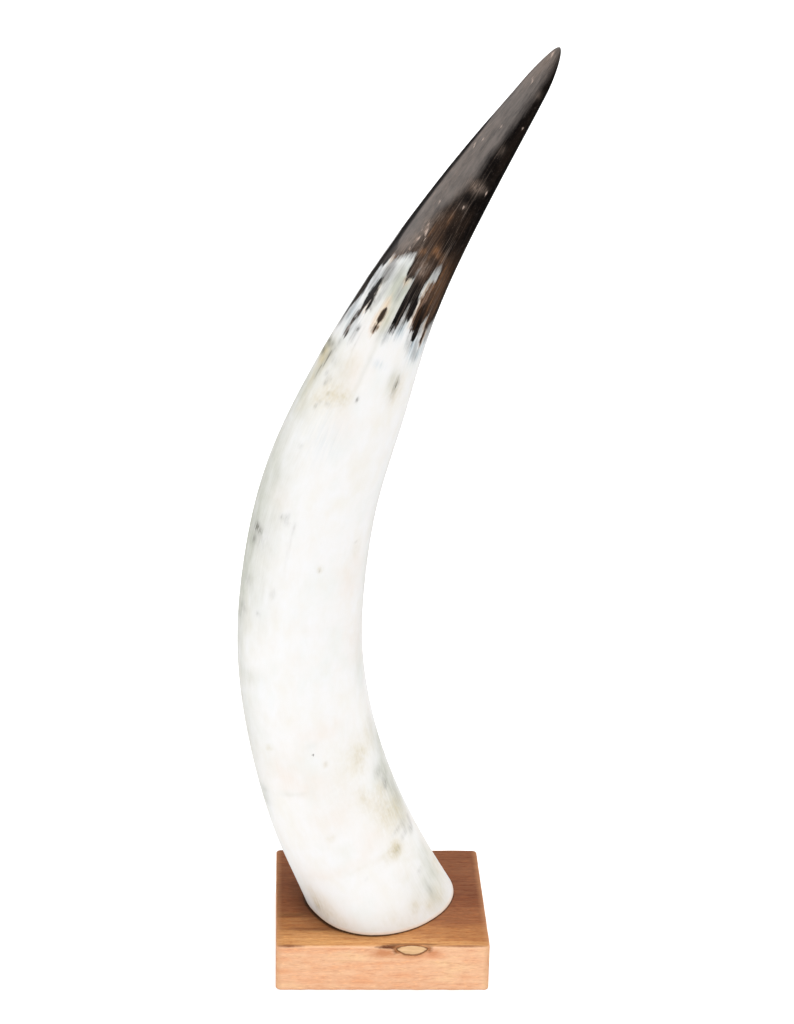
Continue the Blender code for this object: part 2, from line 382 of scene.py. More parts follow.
# %% Turn the tree's result into a plain mesh
def plain_piece(name, carrier, modifiers):
    """Evaluate an object with its modifiers and keep the result as a plain mesh."""
    shown = carrier.evaluated_get(bpy.context.evaluated_depsgraph_get())
    mesh = bpy.data.meshes.new_from_object(shown)
    mesh.name = name
    for modifier in modifiers:
        carrier.modifiers.remove(modifier)
    carrier.data = mesh
    carrier.name = name
    return carrier


horn_finish = start_finish("polished_horn")
horn = show("horn_shape", guide_mesh)
growing = horn.modifiers.new("grown", "NODES")
growing.node_group = horn_tree
sockets = {item.name: item.identifier for item in horn_tree.interface.items_tree}
growing[sockets["Horn"]] = horn_finish
horn = plain_piece("polished_cow_horn", horn, [growing])
print("horn rings give", len(horn.data.vertices), "points")

# %% [markdown]
# ## Sawing the foot
#
# The maker lays the horn in a mitre and saws its foot so that it stands on the block at the right
# lean. Here a plane cuts the mesh just above the block. The sharp rim is eased, as sandpaper
# would: its edges are drawn down and inwards in small steps along a quarter circle. Last, one
# face closes the foot.

# %% Level saw cut with an eased rim
FOOT_CUT_HEIGHT = 35.15 * MM
RIM_EASE = 0.8 * MM
RIM_STEPS = 4
SHORTEST_EDGE = 0.4 * MM     # shorter ones on the cut would fold over in the easing
FOOT_LEAN = 0.5     # how far the horn's side runs to the right for each mm down

shape = bmesh.new()
shape.from_mesh(horn.data)
bmesh.ops.bisect_plane(
    shape, geom=shape.verts[:] + shape.edges[:] + shape.faces[:], dist=0.01 * MM,
    plane_co=(0, 0, FOOT_CUT_HEIGHT + RIM_EASE), plane_no=(0, 0, 1), clear_inner=True,
)
cut_verts = [vert for vert in shape.verts if vert.is_boundary]
bmesh.ops.remove_doubles(shape, verts=cut_verts, dist=SHORTEST_EDGE)
rim = [edge for edge in shape.edges if edge.is_boundary]
foot_outline = np.array([[vert.co[:2] for vert in edge.verts] for edge in rim])
foot_middle = Vector((*foot_outline.mean(axis=(0, 1)), 0))
down, inset = 0.0, 0.0
for step in range(1, RIM_STEPS + 1):
    turn = math.pi / 2 * step / RIM_STEPS
    drop = RIM_EASE * math.sin(turn) - down
    shift = RIM_EASE * (1 - math.cos(turn)) - inset
    drawn = bmesh.ops.extrude_edge_only(shape, edges=rim)["geom"]
    for vert in drawn:
        if isinstance(vert, bmesh.types.BMVert):
            inwards = foot_middle - vert.co
            inwards.z = 0
            vert.co += inwards.normalized() * shift + Vector((FOOT_LEAN * drop, 0, -drop))
    rim = [edge for edge in drawn if isinstance(edge, bmesh.types.BMEdge) and edge.is_boundary]
    down, inset = down + drop, inset + shift
bmesh.ops.contextual_create(shape, geom=rim)
bmesh.ops.remove_doubles(shape, verts=shape.verts, dist=0.003 * MM)
bmesh.ops.recalc_face_normals(shape, faces=shape.faces)
open_edges = sum(edge.is_boundary for edge in shape.edges)
print("horn volume", round(shape.calc_volume() / MM**3 / 1000), "ml, open edges", open_edges)
shape.to_mesh(horn.data)
shape.free()

# %% [markdown]
# ## Marks on the horn
#
# A horn's dark tip and white body don't meet in a line. Dark fibres run down into the white in
# tongues, streaks and small lenses, each along the grain, and the tip itself is not black all
# over: brown shines through, and one side is worn grey with a painted sheen on it. The marks are
# drawn below. An angle of 0 is the right side, -90 the front, -180 the left side and 90 the back;
# distances along the horn are in mm from the saw cut.

# %% Where the solid dark begins
DARK_EDGE = (
    # angle round the horn and distance along it; each dip is a tongue that runs down
    (-174, 434), (-171, 442), (-167, 456), (-161.5, 464), (-159.5, 474), (-159.5, 488),
    (-156, 491), (-152, 493), (-150, 497), (-144, 498), (-140, 496), (-136, 499), (-130, 502),
    (-126, 504), (-122, 507),
    (-118, 508), (-114, 509), (-110.5, 508), (-109, 505), (-107, 501), (-105.5, 497), (-101, 493),
    (-98, 493), (-96.5, 497), (-94, 500), (-92.5, 497), (-91.7, 484), (-91.6, 468), (-91, 457),
    (-89.7, 457), (-88.7, 463), (-88, 460), (-86, 457), (-83.5, 458), (-82.2, 464), (-81.2, 472),
    (-79.8, 477), (-78.6, 473), (-77, 467), (-75.8, 465), (-74.6, 472), (-73.8, 484), (-72.6, 493),
    (-71, 503), (-68, 508), (-62, 509), (-58, 505), (-57, 496), (-56.4, 466), (-52, 457),
    (-49, 458), (-47.5, 466), (-45.5, 471), (-40, 471), (-38.5, 464), (-37, 461), (-31, 462),
    (-28, 466), (-20, 468), (-12, 474), (-4, 470),
)
# The sides that the photo doesn't show get tongues of their own, drawn by a seeded generator
draw = np.random.default_rng(11)
edge_angles, edge_heights = [list(values) for values in zip(*DARK_EDGE)]
angle = edge_angles[-1]
while angle < 184:
    angle += draw.uniform(3, 7)
    edge_angles.append(angle)
    edge_heights.append(draw.choice((458, 470, 488, 500, 507)) + draw.uniform(-5, 5))
print("dark edge points:", len(edge_angles))

# %% Drawn streaks
STREAKS = {
    # angle at the top and at the bottom, top and bottom along the horn, half width in mm
    "smoke": [
        (-136, -136, 499, 481, 4.6), (-80, -79, 480, 460, 1.6), (-42, -41, 475, 458, 2.8),
        (-91, -90, 462, 448, 1.2), (-143, -144, 462, 438, 2.6), (-44, -38, 458, 440, 2.2),
        (-152, -150, 490, 470, 2.4), (-124, -126, 484, 466, 1.4), (-62, -58, 464, 452, 1.0),
        (-56, -53, 462, 446, 1.4), (-93, -92, 512, 490, 2.2), (-118, -119, 500, 486, 1.2),
        (-131, -131, 450, 437, 0.9), (-149, -148, 456, 440, 1.4), (-160, -161, 470, 445, 2.4),
        (-69, -67, 504, 484, 1.4), (-168, -170, 462, 436, 3.0), (-79, -78, 474, 458, 1.6),
        (-24, -22, 482, 452, 5.6), (-12, -10, 486, 456, 5.6), (-140, -139, 460, 448, 1.4),
        (-65, -64, 516, 497, 2.8), (-116, -115, 514, 504, 2.4), (-70, -71, 497, 480, 1.0),
        (-104, -102, 492, 478, 1.2), (-90, -90, 500, 488, 1.0),
    ],
    "amber": [
        (-110, -109, 478, 449, 2.4), (-66, -66, 490, 464, 1.6), (-136, -135, 480, 458, 1.4),
        (-101, -101, 496, 489, 1.6), (-33, -33, 466, 449, 1.8), (-67, -66, 496, 470, 1.2),
        (-114, -113, 466, 452, 1.4), (-39, -38, 474, 462, 1.4), (-145, -144, 499, 495, 1.2),
    ],
    "brown": [
        (-62.5, -61.5, 499, 461, 2.6), (-59, -58, 502, 464, 1.8), (-65, -64, 488, 468, 1.0),
        (-34, -34, 464, 450, 1.8), (-108, -108, 458, 449, 1.7), (-50, -48, 500, 470, 1.2),
        (-144, -145, 457, 437, 1.2),
    ],
    "black": [
        (-138.5, -141, 485, 457, 2.9), (-143, -144.5, 459, 444, 1.2), (-134, -132.5, 476, 458, 1.7),
        (-57, -51.5, 484, 454, 3.1), (-53, -50, 474, 455, 2.0), (-167, -169, 507, 452, 4.4),
        (-157, -155, 508, 488, 3.4), (-86, -84, 497, 476, 2.2), (-102, -101, 506, 491, 2.0),
        (-98, -97, 504, 494, 1.2), (-74.5, -71, 490, 467, 2.3), (-164, -163, 477, 461, 3.0),
    ],
    "dash": [
        (-107.6, -109, 470, 457, 2.0), (-60.5, -57.5, 481, 461, 1.8), (-140.5, -140, 462, 452, 1.0),
        (-142, -142, 443, 436, 0.9), (-150.5, -150, 424, 411, 0.45), (-154, -153, 411, 399, 0.35),
        (-108.5, -109, 457, 451, 0.8), (-129, -129, 449, 445, 0.6), (-147, -146, 446, 437, 0.5),
        (-35, -35, 461, 453, 1.0), (-91, -91, 407, 403, 0.35), (-88, -88, 463, 455, 0.6),
        (-76.7, -76.4, 140.6, 138.8, 0.9),
    ],
    "chip": [
        # pale scratches; the one at 665 to 668 mm by the tip is a painted glint
        (-118, -115, 528, 523, 0.7), (-122, -124, 521, 517, 0.5), (-121, -121, 533, 529, 0.3),
        (-117, -117, 611, 609.6, 0.3), (-130, -130, 548, 546.5, 0.3), (-113, -112, 523, 521, 0.3),
        (-53, -53, 617, 615.6, 0.4), (-51, -50, 568.5, 566, 0.6), (-83, -82, 554, 552, 0.4),
        (-138, -138, 597, 595.5, 0.3), (-134, -124, 647, 645, 0.2), (-150, -142, 590, 587, 0.2),
        (-140, -125, 668, 665, 0.3), (-127, -124, 512, 509, 0.3), (-126, -125, 526, 524, 0.2),
    ],
}
HIDDEN_STREAKS = {
    # for the hidden sides: lowest and highest top, shortest and longest, largest half width
    "smoke": (448, 492, 10, 34, 2.6),
    "black": (448, 492, 10, 34, 2.6),
    "brown": (448, 492, 10, 34, 2.6),
    "dash": (448, 492, 10, 34, 1),
    "chip": (505, 640, 2, 5, 1),
}
for kind in list(HIDDEN_STREAKS) * 6:
    low, high, shortest, longest, widest = HIDDEN_STREAKS[kind]
    angle, top = draw.uniform(8, 182), draw.uniform(low, high)
    bottom = top - draw.uniform(shortest, longest)
    slant = draw.uniform(-3, 3)
    STREAKS[kind].append((angle, angle + slant, top, bottom, draw.uniform(0.5, 1.0) * widest))
print({kind: len(streaks) for kind, streaks in STREAKS.items()})

# %% Drawn stains
STAINS = {
    # angle, distance along, half width across and along in mm, strength
    "moss": [
        # grey-green stains; the broad patches down the left side, at -160 to -172 degrees, are
        # painted shade of that side
        (-170, 292, 24, 54, 0.66), (-166, 262, 20, 44, 0.32), (-172, 366, 18, 40, 0.28),
        (-160, 212, 20, 38, 0.32), (-136, 193, 15, 6, 0.20), (-160, 402, 12, 22, 0.32),
        (-150, 380, 11, 14, 0.28), (-130, 300, 14, 30, 0.20), (-109, 490, 7, 15, 0.90),
        (-98, 480, 5, 15, 0.85), (-66, 498, 3.5, 10, 0.95), (-124, 472, 9, 14, 0.36),
        (-97, 460, 4, 10, 0.50), (-61, 426, 3.2, 8, 0.45), (-97, 428, 1.6, 18, 0.28),
        (2, 92, 14, 26, 0.55), (-3, 62, 15, 16, 0.45), (6, 118, 12, 14, 0.35),
        (-10, 128, 10, 10, 0.14), (-8, -3, 14, 15, 0.42), (2, 14, 13, 14, 0.40),
        (-18, -3, 4, 10, 0.28), (-30, 8, 12, 14, 0.18), (-141, 110, 10, 7, 0.30),
        (-108, 114, 9, 1.8, 0.22), (-96, 112.5, 6, 1.5, 0.16), (-76, 146, 5, 2.5, 0.14),
        (-140, 155, 18, 34, 0.22), (-148, 425, 10, 16, 0.30), (-124, 415, 9, 12, 0.18),
        (-72, 478, 2.5, 12, 0.50), (-145, 335, 16, 26, 0.24), (-5, 300, 8, 60, 0.20),
        (-12, 190, 10, 30, 0.20), (-130, 250, 18, 26, 0.20), (-15, 100, 10, 12, 0.25),
        (-168, 140, 20, 44, 0.26), (-166, 420, 9, 9, 0.55),
    ],
    "ochre": [
        (-162, 417, 9, 9, 0.70), (-158, 398, 6, 12, 0.38), (-152, 380, 6, 8, 0.22),
        (-126, 398, 9, 12, 0.28), (-113, 401, 9, 8, 0.32), (-104, 403, 6, 8, 0.22),
        (-117, 424, 9, 12, 0.20), (-136, 390, 6, 6, 0.20), (-50, 419, 7, 12, 0.42),
        (-105, 462, 5, 11, 0.35), (-30, 124, 9, 8, 0.28), (-12, 130, 8, 9, 0.20),
        (-20, 138, 10, 5, 0.12), (-34, 114, 9, 7, 0.14), (-40, 128, 12, 12, 0.18),
        (-42, 93, 6, 10, 0.28), (-29, 78, 10, 13, 0.30), (-24, 62, 11, 12, 0.28),
        (-20, 88, 8, 8, 0.28), (-29, 42, 6, 6, 0.66), (-38, 42, 8, 5, 0.25),
        (-10, 68, 10, 10, 0.28), (-2, 56, 10, 13, 0.26), (-38, -1, 5, 5, 0.38),
        (-26, -9, 6, 6, 0.30), (-12, -12, 10, 8, 0.30), (12, 0, 10, 14, 0.32),
        (-62, 3, 10, 8, 0.16), (-128, 38, 8, 10, 0.22), (-120, 30, 8, 10, 0.25),
        (-108, 25, 7, 10, 0.22), (-127, 30, 5, 5, 0.16), (-99, 12, 8, 8, 0.20),
        (-118, 20, 7, 5, 0.18), (-124, 25, 4, 7, 0.16),
        (-85, 0, 10, 6, 0.12), (-50, -8, 10, 6, 0.15), (-118, 147, 3.4, 1.6, 0.40),
        (-67, 130, 1.8, 1.6, 0.40), (-80, 77, 3.5, 2.4, 0.28), (-72, 279, 2, 2.4, 0.35),
        (-35, 293, 4.5, 7, 0.20), (-68, 47.5, 12, 1.6, 0.10), (-48, 45.5, 8, 2, 0.12),
        (-60, 108, 16, 22, 0.10), (-18, 30, 10, 8, 0.16), (-34, 20, 12, 8, 0.10),
    ],
    "rose": [
        (-108, 131, 18, 14, 0.45), (-85, 117, 16, 9, 0.35), (-72, 90, 20, 12, 0.30),
        (-36, 268, 12, 24, 0.40), (-18, 216, 13, 18, 0.35), (-108, 420, 9, 15, 0.35),
        (-95, 384, 10, 10, 0.30), (-60, 154, 22, 8, 0.35), (-130, 320, 11, 8, 0.35),
        (-50, 60, 14, 12, 0.35), (-95, 52, 24, 4, 0.30), (-120, 447, 9, 9, 0.30),
    ],
    "frost": [
        (-150, 480, 6, 12, 0.46), (-130, 488, 4, 10, 0.26), (-120, 503, 6, 5, 0.24),
        (-160, 455, 8, 10, 0.70), (-38, 447, 7, 8, 0.66), (-76, 460, 4, 6, 0.70),
        (-90, 452, 4, 5, 0.30), (-50, 453, 6, 5, 0.50), (-24, 452, 7, 9, 0.50),
        (-66, 466, 4, 4, 0.25), (-66, 503, 3, 6, 0.60), (-85, 433, 5, 3, 0.25),
        (-140, 445, 8, 10, 0.35), (-110, 372, 16, 20, 0.14),
    ],
    "smudge": [
        (-136, 489, 3.4, 6.4, 1.30), (-133, 485, 2.2, 4, 0.60), (-77, 473, 2.4, 9, 0.90),
        (-65, 505, 3.4, 6, 0.42), (-42, 467, 3.0, 6, 0.55), (-94, 503, 1.4, 8, 0.60),
        (-24, 466, 5, 7, 0.45), (-34, 443, 2.4, 4, 0.30),
        (-148, 293, 3.6, 2.6, 0.62), (-141, 292, 2.4, 2.2, 0.42), (-149, 284, 3, 2.6, 0.36),
        (-146, 289, 12, 9, 0.22), (-118, 309, 2.8, 2.2, 0.24), (-113, 310.5, 1.3, 3.0, 0.30),
        (-112, 306, 2.4, 1.4, 0.20), (-104, 305, 1.4, 4, 0.12), (-104.5, 289, 1.4, 12, 0.07),
        (-148, 256, 6, 4, 0.22), (-150, 236, 6, 4, 0.30), (-160, 229, 7, 2.2, 0.26),
        (-126, 238, 2.4, 2.2, 0.20), (-112, 255, 2.0, 3.2, 0.20), (-169, 425, 7, 3, 0.65),
        (-172, 417, 6, 3, 0.60), (-151, 418, 2.2, 6, 0.34), (-154, 405, 2.6, 6, 0.26),
        (-156, 427, 2.4, 2.6, 0.40), (-147, 425, 2.0, 4, 0.36), (-131, 387, 1.2, 2, 0.34),
        (-91, 405, 1.1, 2.2, 0.24), (-129, 447, 1.2, 2, 0.40), (-52.5, 422, 1.5, 5, 0.52),
        (-52, 420, 2.6, 8, 0.24), (-38, 298.6, 1.6, 0.6, 0.30),
        (-11, 87, 4, 4, 0.40), (-15, 101, 6, 4, 0.24), (-8, 93, 5, 4, 0.24),
        (-28, 41, 3, 2.6, 0.30), (2, 40, 5, 3, 0.34), (-12, 44, 7, 1.5, 0.28),
        (-8, 50, 4, 4, 0.22), (-20, 52, 5, 1.8, 0.24), (6, 46, 4, 4, 0.24),
        (-17, 14, 3.4, 1.3, 0.22), (-18, -3, 2, 6, 0.22), (-142, 114, 7, 2.6, 0.16),
        (-144, 105, 6, 3, 0.20), (-65, 39, 0.8, 0.8, 0.30), (-127, 358, 2, 2, 0.12),
        (-67, 130, 1.1, 1, 0.22), (-72, 278.5, 0.9, 1.1, 0.30), (-6, 140, 6, 9, 0.10),
        (0, 75, 8, 14, 0.14), (-127, 26, 5, 2.5, 0.24), (-100, 452, 1.0, 8, 0.16),
        (-122, 440, 0.9, 10, 0.16), (-140, 420, 5, 3, 0.16), (-132, 408, 3, 3, 0.14),
        (-134, 404, 1.5, 2, 0.34), (-124, 399, 1.3, 1.2, 0.30), (-119, 393, 2, 1.6, 0.22),
        (-139, 410, 1.2, 2, 0.30), (-128, 391, 1.6, 1.2, 0.20), (-146, 432, 2, 3, 0.30),
    ],
    "brown_glow": [
        (-108, 534, 4, 9, 0.55), (-99, 540, 5, 9, 0.50), (-95, 524, 5, 9, 0.70),
        (-83, 518, 4, 6, 0.90), (-73, 517, 3, 3.4, 0.60), (-64, 514, 3, 4, 0.80),
        (-52, 510, 4, 11, 0.80), (-43, 492, 4.5, 22, 0.85), (-32, 482, 5, 18, 0.85),
        (-24, 506, 4, 24, 0.60), (-78, 503, 2.4, 8, 0.80), (-100, 503, 3, 8, 0.80),
        (-112, 514, 2.6, 7, 0.60), (-87, 504, 3.6, 8, 1.00), (-70, 504, 1.6, 5, 0.40),
        (-141, 500, 4, 4, 0.60), (-92, 567, 2, 4, 0.30), (-60, 545, 3, 8, 0.20),
        (-120, 512, 3, 4, 0.40), (-128, 505, 4, 3, 0.50), (-60, 488, 3, 12, 0.80),
        (-84, 545, 5, 8, 0.30), (-66, 535, 4, 8, 0.20), (-50, 600, 3, 30, 0.16),
    ],
    "rust": [
        (-104.5, 474, 1.6, 5, 0.80),
        (-85, 519, 2.0, 2.6, 0.55), (-77, 516.5, 1.8, 2.0, 0.50), (-90, 512, 0.8, 4, 0.35),
        (-62, 487, 1.6, 6, 0.90), (-62, 474, 1.4, 6, 0.60), (-105, 513, 1.2, 3, 0.50),
        (-100, 515, 1.0, 3, 0.40), (-144, 499, 2.2, 1.6, 0.35), (-52, 508, 1.0, 5, 0.35),
        (-48, 484, 0.9, 10, 0.50), (-43, 497, 0.9, 12, 0.40), (-35, 500, 0.8, 12, 0.36),
        (-52, 500, 0.8, 8, 0.40), (-30, 482, 0.8, 9, 0.30), (-64, 479, 1.2, 6, 0.70),
        (-110, 529, 1.0, 5, 0.35), (-38, 470, 0.8, 5, 0.40), (-67, 514, 0.8, 4, 0.40),
        (-93, 541, 0.9, 5, 0.30), (-58, 495, 1.4, 4, 0.60),
    ],
    "graze": [
        # pale grazes; the row near 568 mm at the front and the marks above 640 mm near the tip are
        # painted highlights where the surface catches the light
        (-121, 527, 2.6, 8, 0.50), (-126, 517, 3, 4, 0.45), (-136, 512, 4, 5, 0.30),
        (-138, 505, 4, 4, 0.30), (-155, 545, 1.4, 26, 0.24), (-155, 590, 1.6, 22, 0.35),
        (-150, 648, 3, 16, 0.30), (-118, 656, 4, 13, 0.16), (-150, 664, 4, 6, 0.30),
        (-135, 600, 5, 20, 0.12), (-85, 569, 5, 4.4, 0.36), (-75, 568, 4, 4, 0.30),
        (-58, 569, 2.6, 2.2, 0.26), (-90, 504, 3.2, 7, 0.55),
        (-106, 560, 3, 14, 0.14), (-140, 560, 5, 26, 0.18), (-82, 553, 2, 2.4, 0.35),
        (-75, 597, 2.4, 4, 0.20), (-70, 640, 2, 3, 0.25), (-112, 540, 2.4, 4, 0.25),
        (-130, 532, 4, 8, 0.20), (-85, 505, 2.4, 5, 0.25), (-110, 516, 1.4, 5, 0.25),
    ],
}
HIDDEN_STAINS = {
    # for the hidden sides: lowest and highest place, and a middling half width
    "moss": (-30, 440, 12), "ochre": (-30, 440, 8), "rose": (-30, 440, 14),
    "smudge": (-30, 440, 2.4), "brown_glow": (495, 560, 3.5), "graze": (495, 560, 2),
}
for kind in list(HIDDEN_STAINS) * 10:
    low, high, size = HIDDEN_STAINS[kind]
    angle, height = draw.uniform(12, 178), draw.uniform(low, high)
    half_across, half_along = size * draw.uniform(0.6, 1.4), size * draw.uniform(0.8, 2.4)
    STAINS[kind].append((angle, height, half_across, half_along, draw.uniform(0.15, 0.45)))
print({kind: len(stains) for kind, stains in STAINS.items()})

# %% Where the dark tip is worn grey, with a painted sheen
WORN_AND_SHEEN_SIDE = (
    # distance along the horn, and the angles of the left and right border of the worn side with its
    # painted sheen
    (496, -147, -139), (504, -149, -132), (509, -156, -127), (514, -158, -123), (520, -159, -123),
    (526, -159, -119), (535, -160, -122), (545, -160, -117), (550, -161, -112), (556, -161, -107),
    (560, -162, -103), (566, -162, -98), (575, -161, -94), (590, -162, -96), (600, -165, -92),
    (608, -172, -89), (616, -200, -87), (640, -205, -82), (655, -208, -79), (672, -210, -77),
)


# %% Write streaks, stains and borders to the mesh
def write_values(mesh, name, values):
    """Keep one number for each point of a mesh, for its material to read."""
    attribute = mesh.attributes.new(name, "FLOAT", "POINT")
    attribute.data.foreach_set("value", values.astype(np.float32))


places = np.zeros(len(horn.data.vertices) * 3, np.float32)
horn.data.attributes["horn_map"].data.foreach_get("vector", places)
places = places.reshape(-1, 3).astype(float)
angles = np.degrees(np.arctan2(places[:, 1], places[:, 0]))
along = places[:, 2]
# Mean radius of the horn in mm at each distance from the cut
radius = np.interp(along, (-60, 0, 250, 400, 500, 600, 672), (54, 50, 46, 38, 24.5, 14, 2))
across_per_degree = np.radians(radius)


def mm_across(from_angle):
    """Distance round the horn in mm from an angle, the shorter way."""
    return np.abs((angles - from_angle + 180) % 360 - 180) * across_per_degree


OUTSIDE = -12.0     # mm; further from a streak or from the worn side makes no difference
END_SLOPE = 0.3     # a streak fades out this much slower past its ends than beside them
LENS_POWER = 0.6    # below 1, a streak keeps its width for longer before its pointed ends
for kind, streaks in STREAKS.items():
    field = np.full(len(along), OUTSIDE)
    for top_angle, bottom_angle, top, bottom, half_width in streaks:
        share = (along - bottom) / (top - bottom)
        inside = np.clip(share, 0, 1)
        off = mm_across(bottom_angle + (top_angle - bottom_angle) * inside)
        lens = half_width * (4 * inside * (1 - inside)) ** LENS_POWER
        past_end = np.abs(share - inside) * (top - bottom)
        field = np.maximum(field, lens - off - END_SLOPE * past_end)
    write_values(horn.data, kind, field)
for kind, stains in STAINS.items():
    field = np.zeros(len(along))
    for angle, height, half_across, half_along, strength in stains:
        distance = np.hypot(mm_across(angle) / half_across, (along - height) / half_along)
        field += strength * np.exp(-(distance**2))
    write_values(horn.data, kind, field)
    print(kind, "covers", int((field > 0.1).sum()), "points")

# Tongues are long and narrow: where the edge is steep, its distance counts less
STEEPNESS_SHARE = 0.22
SMALL_STEP = 1e-6     # degrees, because two points of the edge have the same angle
wrapped = np.where(angles < edge_angles[0], angles + 360, angles)
dark_from = np.interp(wrapped, edge_angles, edge_heights)
slopes = np.abs(np.diff(edge_heights) / np.maximum(np.diff(edge_angles), SMALL_STEP))
segment = np.clip(np.searchsorted(edge_angles, wrapped) - 1, 0, len(slopes) - 1)
flatten = np.hypot(1, STEEPNESS_SHARE * slopes[segment] / across_per_degree)
write_values(horn.data, "dark_end", np.clip((along - dark_from) / flatten, -60, 60))

worn_and_sheen_along, worn_and_sheen_left, worn_and_sheen_right = np.array(WORN_AND_SHEEN_SIDE).T
facing = np.where(angles > 90, angles - 360, angles)
# The worn grey side and its painted sheen end abruptly at the left and fade out at the right
LEFT_SHARPNESS = 2.4     # the worn side ends abruptly at its left and fades out at its right
worn_and_sheen = np.minimum(np.interp(along, worn_and_sheen_along, worn_and_sheen_right) - facing,
                  (facing - np.interp(along, worn_and_sheen_along, worn_and_sheen_left)) * LEFT_SHARPNESS)
worn_and_sheen *= across_per_degree
worn_and_sheen = np.where(along < worn_and_sheen_along[0], OUTSIDE, worn_and_sheen)
write_values(horn.data, "worn_and_sheen", np.clip(worn_and_sheen, OUTSIDE, 12))

# %% [markdown]
# ## Polished horn
#
# Horn is keratin, the stuff of hooves and nails: slightly translucent, with an index of
# refraction near 1.55. It is scraped, sanded and buffed, which leaves a broad soft sheen. The
# white part is nearly neutral with faint beige, pink and greenish clouds, and painted shade lies
# down its left side. The material lays its colours in order, palest first: clouds and stains,
# smoky streaks, amber halos, brown and black, and last the solid dark end with its brown glow,
# worn grey side with a painted sheen, grazes, pale scratches and a few painted highlights. Fibre
# noise, long along the horn and short across it, breaks every edge.

# %% Map and noises for the horn
tree = horn_finish.node_tree
horn_place = add(tree, "ShaderNodeAttribute", attribute_name="horn_map").outputs["Vector"]
HORN_NOISES = {
    # size in mm round and along, detail; a single fibre is finer than a pixel, so they are
    # drawn as bundles of 1 mm
    "fibre": ((1.5, 1.5, 16), 3.0),
    "hair": ((0.9, 0.9, 26), 2.0),
    "cloud": ((22, 22, 34), 3.0),
    "patch": ((8, 8, 14), 4.0),
    "mottle": ((2.6, 2.6, 4), 4.0),
    "growth": ((70, 70, 9), 2.0),
    "scrape": ((1.1, 1.1, 5), 4.0),
    "dust": ((1.0, 1.0, 1.6), 2.0),
}
noise = make_noises(tree, horn_place, HORN_NOISES, (3.7, 1.9, 0.6), 0.55)
uneven = {name: add(tree, "ShaderNodeMath", (noise[name], 0.5), operation="SUBTRACT")
          for name in ("fibre", "patch", "mottle", "scrape")}
torn = add(tree, "ShaderNodeMath", (uneven["mottle"], 0.6), operation="MULTIPLY")
uneven["torn"] = add(tree, "ShaderNodeMath", (uneven["fibre"], 0.7, torn),
                     operation="MULTIPLY_ADD")
hairs = add(tree, "ShaderNodeMapRange", (noise["hair"], 0.34, 0.66))
blots = add(tree, "ShaderNodeMapRange", (noise["mottle"], 0.36, 0.64))

# %% White body with its clouds
colour = srgb("#DAD9D8")
CLOUDS = (
    # noise, from where to where it shows, how much, colour
    ("cloud", 0.50, 0.72, 0.60, "#D6D3CB"),
    ("cloud", 0.48, 0.30, 0.60, "#D3D5D2"),
    ("patch", 0.50, 0.74, 0.30, "#D7D1C9"),
    ("patch", 0.48, 0.30, 0.30, "#DCDDE1"),
    ("growth", 0.54, 0.70, 0.06, "#D2CBBF"),
    ("scrape", 0.54, 0.74, 0.10, "#CBC9C1"),
)
for name, start, full, amount, tint in CLOUDS:
    colour = lay_over(tree, colour, noise[name], start, full, amount, tint)

# %% Soft stains
STAIN_TINTS = (
    # kind, noise that makes it patchy, how patchy, the two colours that it varies between
    ("rose", "patch", 0.8, "#D9CFC7", "#D5CAC0"),
    ("moss", "patch", 0.8, "#A5A79B", "#B5B7AC"),
    ("ochre", "mottle", 1.2, "#B5A886", "#C4B898"),
    ("frost", "fibre", 2.2, "#9FADB5", "#BCC6CB"),
    ("smudge", "scrape", 1.9, "#57564D", "#706E63"),
)


def stain_share(kind, breaker, patchiness):
    """How much a stain covers: its strength, made patchy by a noise and kept from 0 to 1."""
    strength = add(tree, "ShaderNodeAttribute", attribute_name=kind).outputs["Fac"]
    vary = add(tree, "ShaderNodeMath", (uneven[breaker], 2 * patchiness, 1.0),
               operation="MULTIPLY_ADD")
    return add(tree, "ShaderNodeMath", (strength, vary), operation="MULTIPLY", use_clamp=True)


def tint_between(first, second, pattern=hairs):
    """A colour that varies between two others, from hair to hair or by another pattern."""
    return add(tree, "ShaderNodeMix", (pattern, srgb(first), srgb(second)), data_type="RGBA")


for kind, breaker, patchiness, first, second in STAIN_TINTS:
    share = stain_share(kind, breaker, patchiness)
    colour = add(tree, "ShaderNodeMix", (share, colour, tint_between(first, second)),
                 data_type="RGBA")

# %% Streaks with ragged edges
STREAK_TINTS = (
    # kind, mm over which the edge fades out and in, noise that breaks it, its reach in mm,
    # how much it covers, the two colours that it varies between
    ("smoke", -2.0, 2.0, "torn", 6.0, 0.72, "#7B7A7B", "#A6A6A4"),
    ("amber", -1.8, 1.8, "torn", 4.0, 0.60, "#BE9468", "#DCC4A4"),
    ("brown", -0.9, 1.0, "torn", 6.0, 0.95, "#301D10", "#6E4D34"),
    ("black", -0.8, 0.8, "torn", 6.0, 1.00, "#080606", "#1E1816"),
    ("dash", -0.5, 0.5, "scrape", 1.8, 0.98, "#120C07", "#38220F"),
)


def ragged_share(field, breaker, reach, out, full, amount=1.0):
    """How much a streak covers, with its edge moved to and fro by a noise."""
    moved = add(tree, "ShaderNodeMath", (uneven[breaker], reach, field), operation="MULTIPLY_ADD")
    return add(tree, "ShaderNodeMapRange", (moved, out, full, 0.0, amount))


for kind, out, full, breaker, reach, amount, first, second in STREAK_TINTS:
    field = add(tree, "ShaderNodeAttribute", attribute_name=kind).outputs["Fac"]
    share = ragged_share(field, breaker, reach, out, full, amount)
    colour = add(tree, "ShaderNodeMix", (share, colour, tint_between(first, second)),
                 data_type="RGBA")

